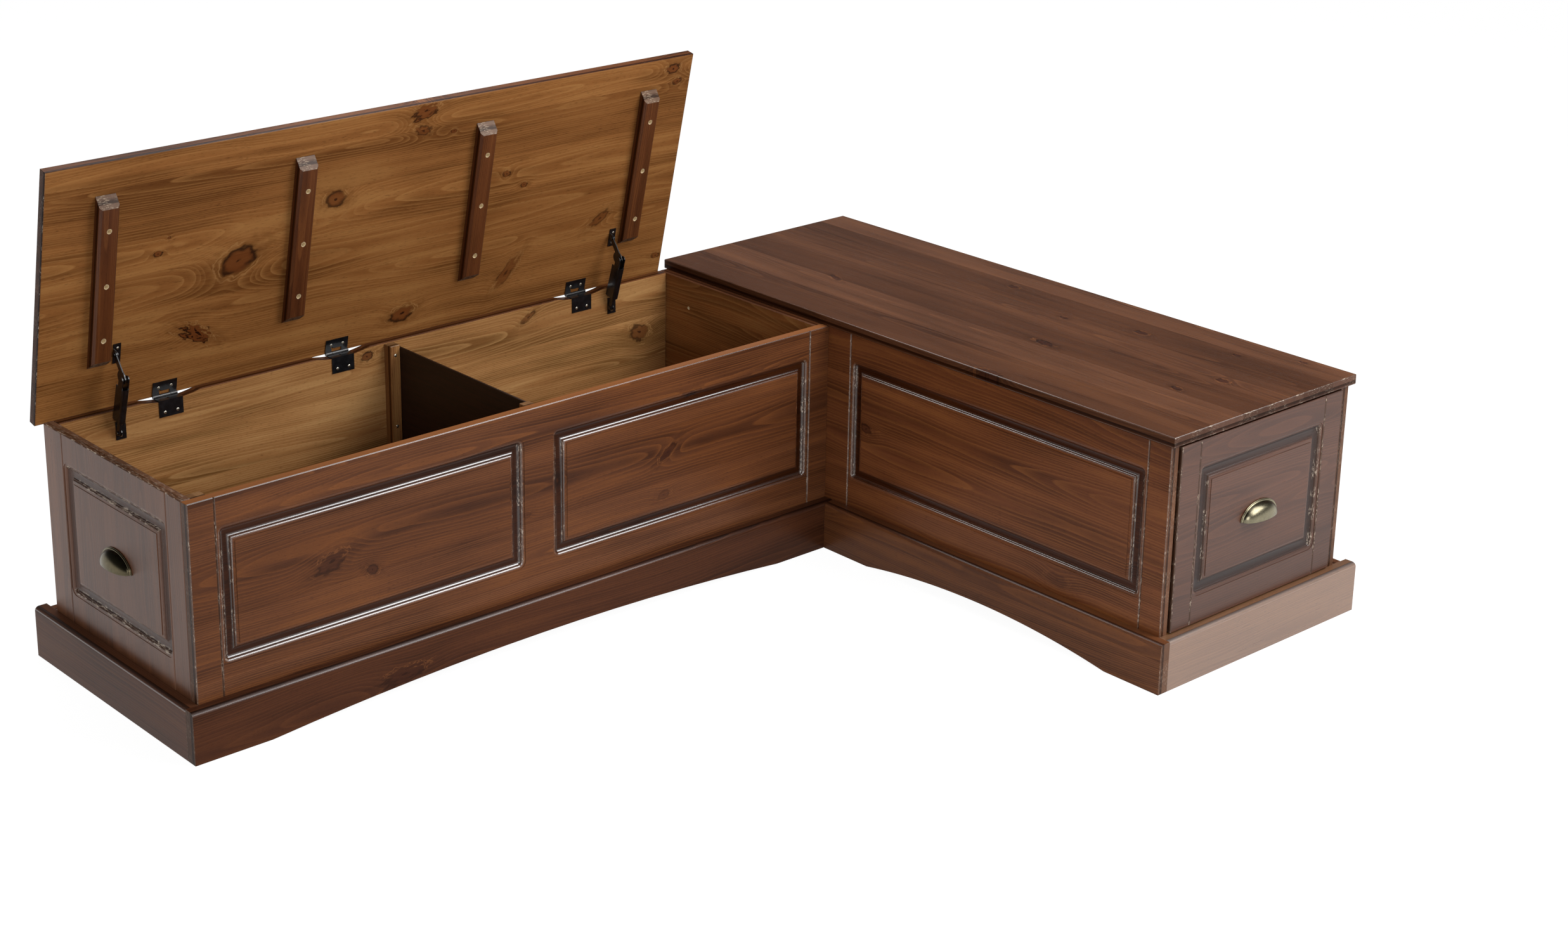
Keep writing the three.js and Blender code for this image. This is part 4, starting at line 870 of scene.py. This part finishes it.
def screw_tree():
    """Geometry Nodes: a domed screw head at every point, turned at random, with a cross of raised
    bars marked as the recess, painted darker as the shade of a cross recess.
    """
    tree = bpy.data.node_groups.new("screw_heads", "GeometryNodeTree")
    sides = tree.interface
    sides.new_socket("Geometry", in_out="INPUT", socket_type="NodeSocketGeometry")
    for label in ("Head Radius", "Head Height", "Cross Width"):
        sides.new_socket(label, in_out="INPUT", socket_type="NodeSocketFloat")
    sides.new_socket("Seed", in_out="INPUT", socket_type="NodeSocketInt")
    sides.new_socket("Finish", in_out="INPUT", socket_type="NodeSocketMaterial")
    sides.new_socket("Geometry", in_out="OUTPUT", socket_type="NodeSocketGeometry")
    t = Tree(tree)
    given = t.node("NodeGroupInput").outputs
    leave = t.node("NodeGroupOutput").inputs
    radius, height = given["Head Radius"], given["Head Height"]
    dome = t.node("GeometryNodeMeshUVSphere", {"Segments": 14, "Rings": 8, "Radius": 1.0}).outputs[0]
    squash = t.node("ShaderNodeCombineXYZ", {0: radius, 1: radius, 2: height}).outputs[0]
    head = t.node("GeometryNodeTransform", {"Geometry": dome, "Scale": squash}).outputs[0]
    arms = []
    for turn in (0.0, math.pi / 2):
        length = t.times(radius, 1.1)
        tall = t.times(height, 1.1)
        size = t.node("ShaderNodeCombineXYZ", {0: length, 1: given["Cross Width"], 2: tall}).outputs[0]
        bar = t.node("GeometryNodeMeshCube", {"Size": size}).outputs[0]
        up = t.node("ShaderNodeCombineXYZ", {2: t.times(height, 0.5)}).outputs[0]
        arm = t.node("GeometryNodeTransform", {"Geometry": bar, "Translation": up})
        arm.inputs["Rotation"].default_value = Euler((0.0, 0.0, turn))
        arms.append(arm.outputs[0])
    cross = t.node("GeometryNodeJoinGeometry")
    for arm in arms:
        tree.links.new(arm, cross.inputs[0])
    marks = []
    # The bars carry the recess mark and so take the darker colour: painted shade, not a cut
    for geometry, value in ((head, 0.0), (cross.outputs[0], 1.0)):
        store = t.node("GeometryNodeStoreNamedAttribute", {"Geometry": geometry}, data_type="FLOAT")
        store.inputs["Name"].default_value = "recess"
        store.inputs["Value"].default_value = value
        marks.append(store.outputs[0])
    whole = t.node("GeometryNodeJoinGeometry")
    for mark in marks:
        tree.links.new(mark, whole.inputs[0])
    facing = t.node("GeometryNodeInputNamedAttribute", data_type="FLOAT_VECTOR")
    facing.inputs["Name"].default_value = "facing"
    aim = t.node("FunctionNodeAlignRotationToVector", {"Vector": facing.outputs[0]}, axis="Z")
    spin = t.node("FunctionNodeRandomValue", data_type="FLOAT")
    spin.inputs["Min"].default_value = 0.0
    spin.inputs["Max"].default_value = math.pi
    t.feed(spin.inputs["Seed"], given["Seed"])
    chance = [o for o in spin.outputs if o.enabled and o.type == "VALUE"][0]
    about = t.node("FunctionNodeAxisAngleToRotation", {"Angle": chance})
    about.inputs["Axis"].default_value = (0.0, 0.0, 1.0)
    turned = t.node("FunctionNodeRotateRotation", {
        "Rotation": aim.outputs[0], "Rotate By": about.outputs[0]}, rotation_space="LOCAL")
    placed = t.node("GeometryNodeInstanceOnPoints", {
        "Points": given["Geometry"], "Instance": whole.outputs[0], "Rotation": turned.outputs[0]})
    real = t.node("GeometryNodeRealizeInstances", {"Geometry": placed.outputs[0]})
    done = t.node("GeometryNodeSetMaterial", {"Geometry": real.outputs[0], "Material": given["Finish"]})
    tree.links.new(done.outputs[0], leave[0])
    return tree


SCREW_TREE = screw_tree()


def screws(name, body, places, radius, height, seed):
    """Screw heads at the places, each given with the way it faces, as one plain mesh."""
    points = bpy.data.meshes.new(name + "_points")
    points.from_pydata([Vector(p) * MM for p, _ in places], [], [])
    facing = points.attributes.new("facing", "FLOAT_VECTOR", "POINT")
    facing.data.foreach_set("vector", [c for _, way in places for c in way])
    maker = new_object(name + "_maker", points)
    modifier = maker.modifiers.new("screws", "NODES")
    modifier.node_group = SCREW_TREE
    values = {
        "Head Radius": radius * MM, "Head Height": height * MM, "Cross Width": radius * 0.28 * MM,
        "Seed": seed, "Finish": SCREW_STEEL}
    for item in SCREW_TREE.interface.items_tree:
        if item.item_type == "SOCKET" and item.in_out == "INPUT" and item.name in values:
            modifier[item.identifier] = values[item.name]
    bpy.context.view_layer.update()
    evaluated = maker.evaluated_get(bpy.context.evaluated_depsgraph_get())
    mesh = bpy.data.meshes.new_from_object(evaluated)
    mesh.name = name
    mesh.shade_smooth()
    bpy.data.objects.remove(maker)
    piece = new_object(name, mesh)
    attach(piece, body)
    return piece


def on_lid(x, up, out):
    """A point of the lid: x, how far up it from the hinge axis, and how far out of its underside."""
    return Vector((x, *HINGE_AXIS)) + Vector(UP_THE_LID) * up + Vector(OUT_OF_UNDERSIDE) * out


def case_screws(middles, offsets):
    return [((middle + x, y, z), TO_FRONT) for middle in middles for x, y, z in offsets]


def lid_screws(middles, offsets):
    return [(on_lid(middle + x, up, out), OUT_OF_UNDERSIDE) for middle in middles for x, up, out in offsets]


BATTEN_OFFSETS = [(0.0, up, BATTEN_HOLE_FLOOR) for up in BATTEN_SCREWS]
# Each set of screws: body, places, head radius and height, seed
SCREW_SETS = {
    "hinge_screws_in_case": ("case", case_screws(HINGE_CENTRES, BOX_LEAF_SCREWS), 3.0, 0.7, 5),
    "hinge_screws_in_lid": ("lid", lid_screws(HINGE_CENTRES, LID_LEAF_SCREWS), 3.0, 0.7, 6),
    "batten_screws": ("lid", lid_screws(BATTEN_CENTRES, BATTEN_OFFSETS), 3.4, 1.6, 7),
    "divider_screws": ("case", case_screws((0.0,), DIVIDER_SCREWS), 3.2, 1.0, 8),
    "stay_screws_in_case": ("case", case_screws(STAY_PLACES, STAY_CASE_SCREWS), 2.6, 0.7, 9),
    "stay_screws_in_lid": ("lid", lid_screws(STAY_PLACES, STAY_LID_SCREWS), 2.6, 0.7, 10),
}
for name, (body, places, radius, height, seed) in SCREW_SETS.items():
    screws(name, body, places, radius, height, seed)


def studio_floor():
    """A pale floor that stays white to the camera and to gloss, and keeps the bench's shadow."""
    mesh = bpy.data.meshes.new("studio_floor")
    reach, drop = 14.0, -0.0004
    corners = [(-reach, -reach, drop), (reach, -reach, drop), (reach, reach, drop), (-reach, reach, drop)]
    mesh.from_pydata(corners, [], [(0, 1, 2, 3)])
    floor = new_object("studio_floor", mesh)
    material, t = new_material("pale_studio_floor")
    path = t.node("ShaderNodeLightPath").outputs
    seen = t.plus(path["Is Camera Ray"], path["Is Glossy Ray"], clamp=True)
    seen = t.plus(seen, path["Is Transmission Ray"], clamp=True)
    matt = t.node("ShaderNodeBsdfDiffuse", {"Color": (0.8, 0.8, 0.8, 1.0)})
    glow = t.node("ShaderNodeEmission", {"Color": (1.0, 1.0, 1.0, 1.0), "Strength": 1.12})
    share = t.times(seen, 0.85)
    both = t.node("ShaderNodeMixShader", {0: share, 1: matt.outputs[0], 2: glow.outputs[0]})
    t.node("ShaderNodeOutputMaterial", {0: both.outputs[0]})
    mesh.materials.append(material)


def studio_world():
    """White behind the bench, a softer level of light from all round, and, as in a studio,
    a white backdrop low down in the gloss with a dark ceiling over it."""
    world = bpy.data.worlds.new("studio_world")
    bpy.context.scene.world = world
    world.use_nodes = True
    world.node_tree.nodes.clear()
    t = Tree(world.node_tree)
    path = t.node("ShaderNodeLightPath").outputs
    climb = t.split(t.node("ShaderNodeTexCoord").outputs["Generated"])[2]
    in_gloss = t.times(path["Is Glossy Ray"], t.step(climb, 0.04, 0.26, 0.62, -0.28))
    seen = t.plus(path["Is Camera Ray"], path["Is Transmission Ray"], clamp=True)
    level = t.plus(t.times_plus(seen, 0.67, 0.33), in_gloss)
    back = t.node("ShaderNodeBackground", {"Color": (1.0, 1.0, 1.0, 1.0), "Strength": level})
    t.node("ShaderNodeOutputWorld", {0: back.outputs[0]})


def soft_lamp(name, place, target, size, power):
    lamp = bpy.data.lights.new(name, "AREA")
    lamp.shape = "RECTANGLE"
    lamp.size, lamp.size_y = size
    lamp.energy = power
    holder = new_object(name, lamp)
    holder.visible_camera = False
    way = Vector(target) - Vector(place)
    holder.matrix_world = Matrix.Translation(place) @ way.to_track_quat("-Z", "Y").to_matrix().to_4x4()


def photo_camera():
    """The photograph's viewpoint, from the measured corners."""
    yaw, pitch, roll = (math.radians(a) for a in CAMERA_TURN)
    look = Vector((math.sin(yaw) * math.cos(pitch), math.cos(yaw) * math.cos(pitch), math.sin(pitch)))
    level = look.cross(Vector((0.0, 0.0, 1.0))).normalized()
    above = level.cross(look)
    right = level * math.cos(roll) + above * math.sin(roll)
    up = right.cross(look)
    turn = Matrix((right, up, -look)).transposed().to_4x4()
    camera = bpy.data.cameras.new("photo_camera")
    camera.sensor_width = FILM_WIDTH
    camera.lens = PHOTO_FOCAL / PHOTO_WIDTH * FILM_WIDTH
    camera.shift_x = (PHOTO_WIDTH / 2 - PHOTO_MIDDLE) / PHOTO_WIDTH
    camera.shift_y = PHOTO_SHIFT
    camera.clip_end = 60.0
    holder = new_object("photo_camera", camera)
    holder.matrix_world = Matrix.Translation(Vector(CAMERA_PLACE) * MM) @ turn
    bpy.context.scene.camera = holder


studio_floor()
studio_world()
for name, placing in LAMPS.items():
    soft_lamp(name, *placing)
photo_camera()
bpy.context.scene.view_settings.view_transform = "Standard"
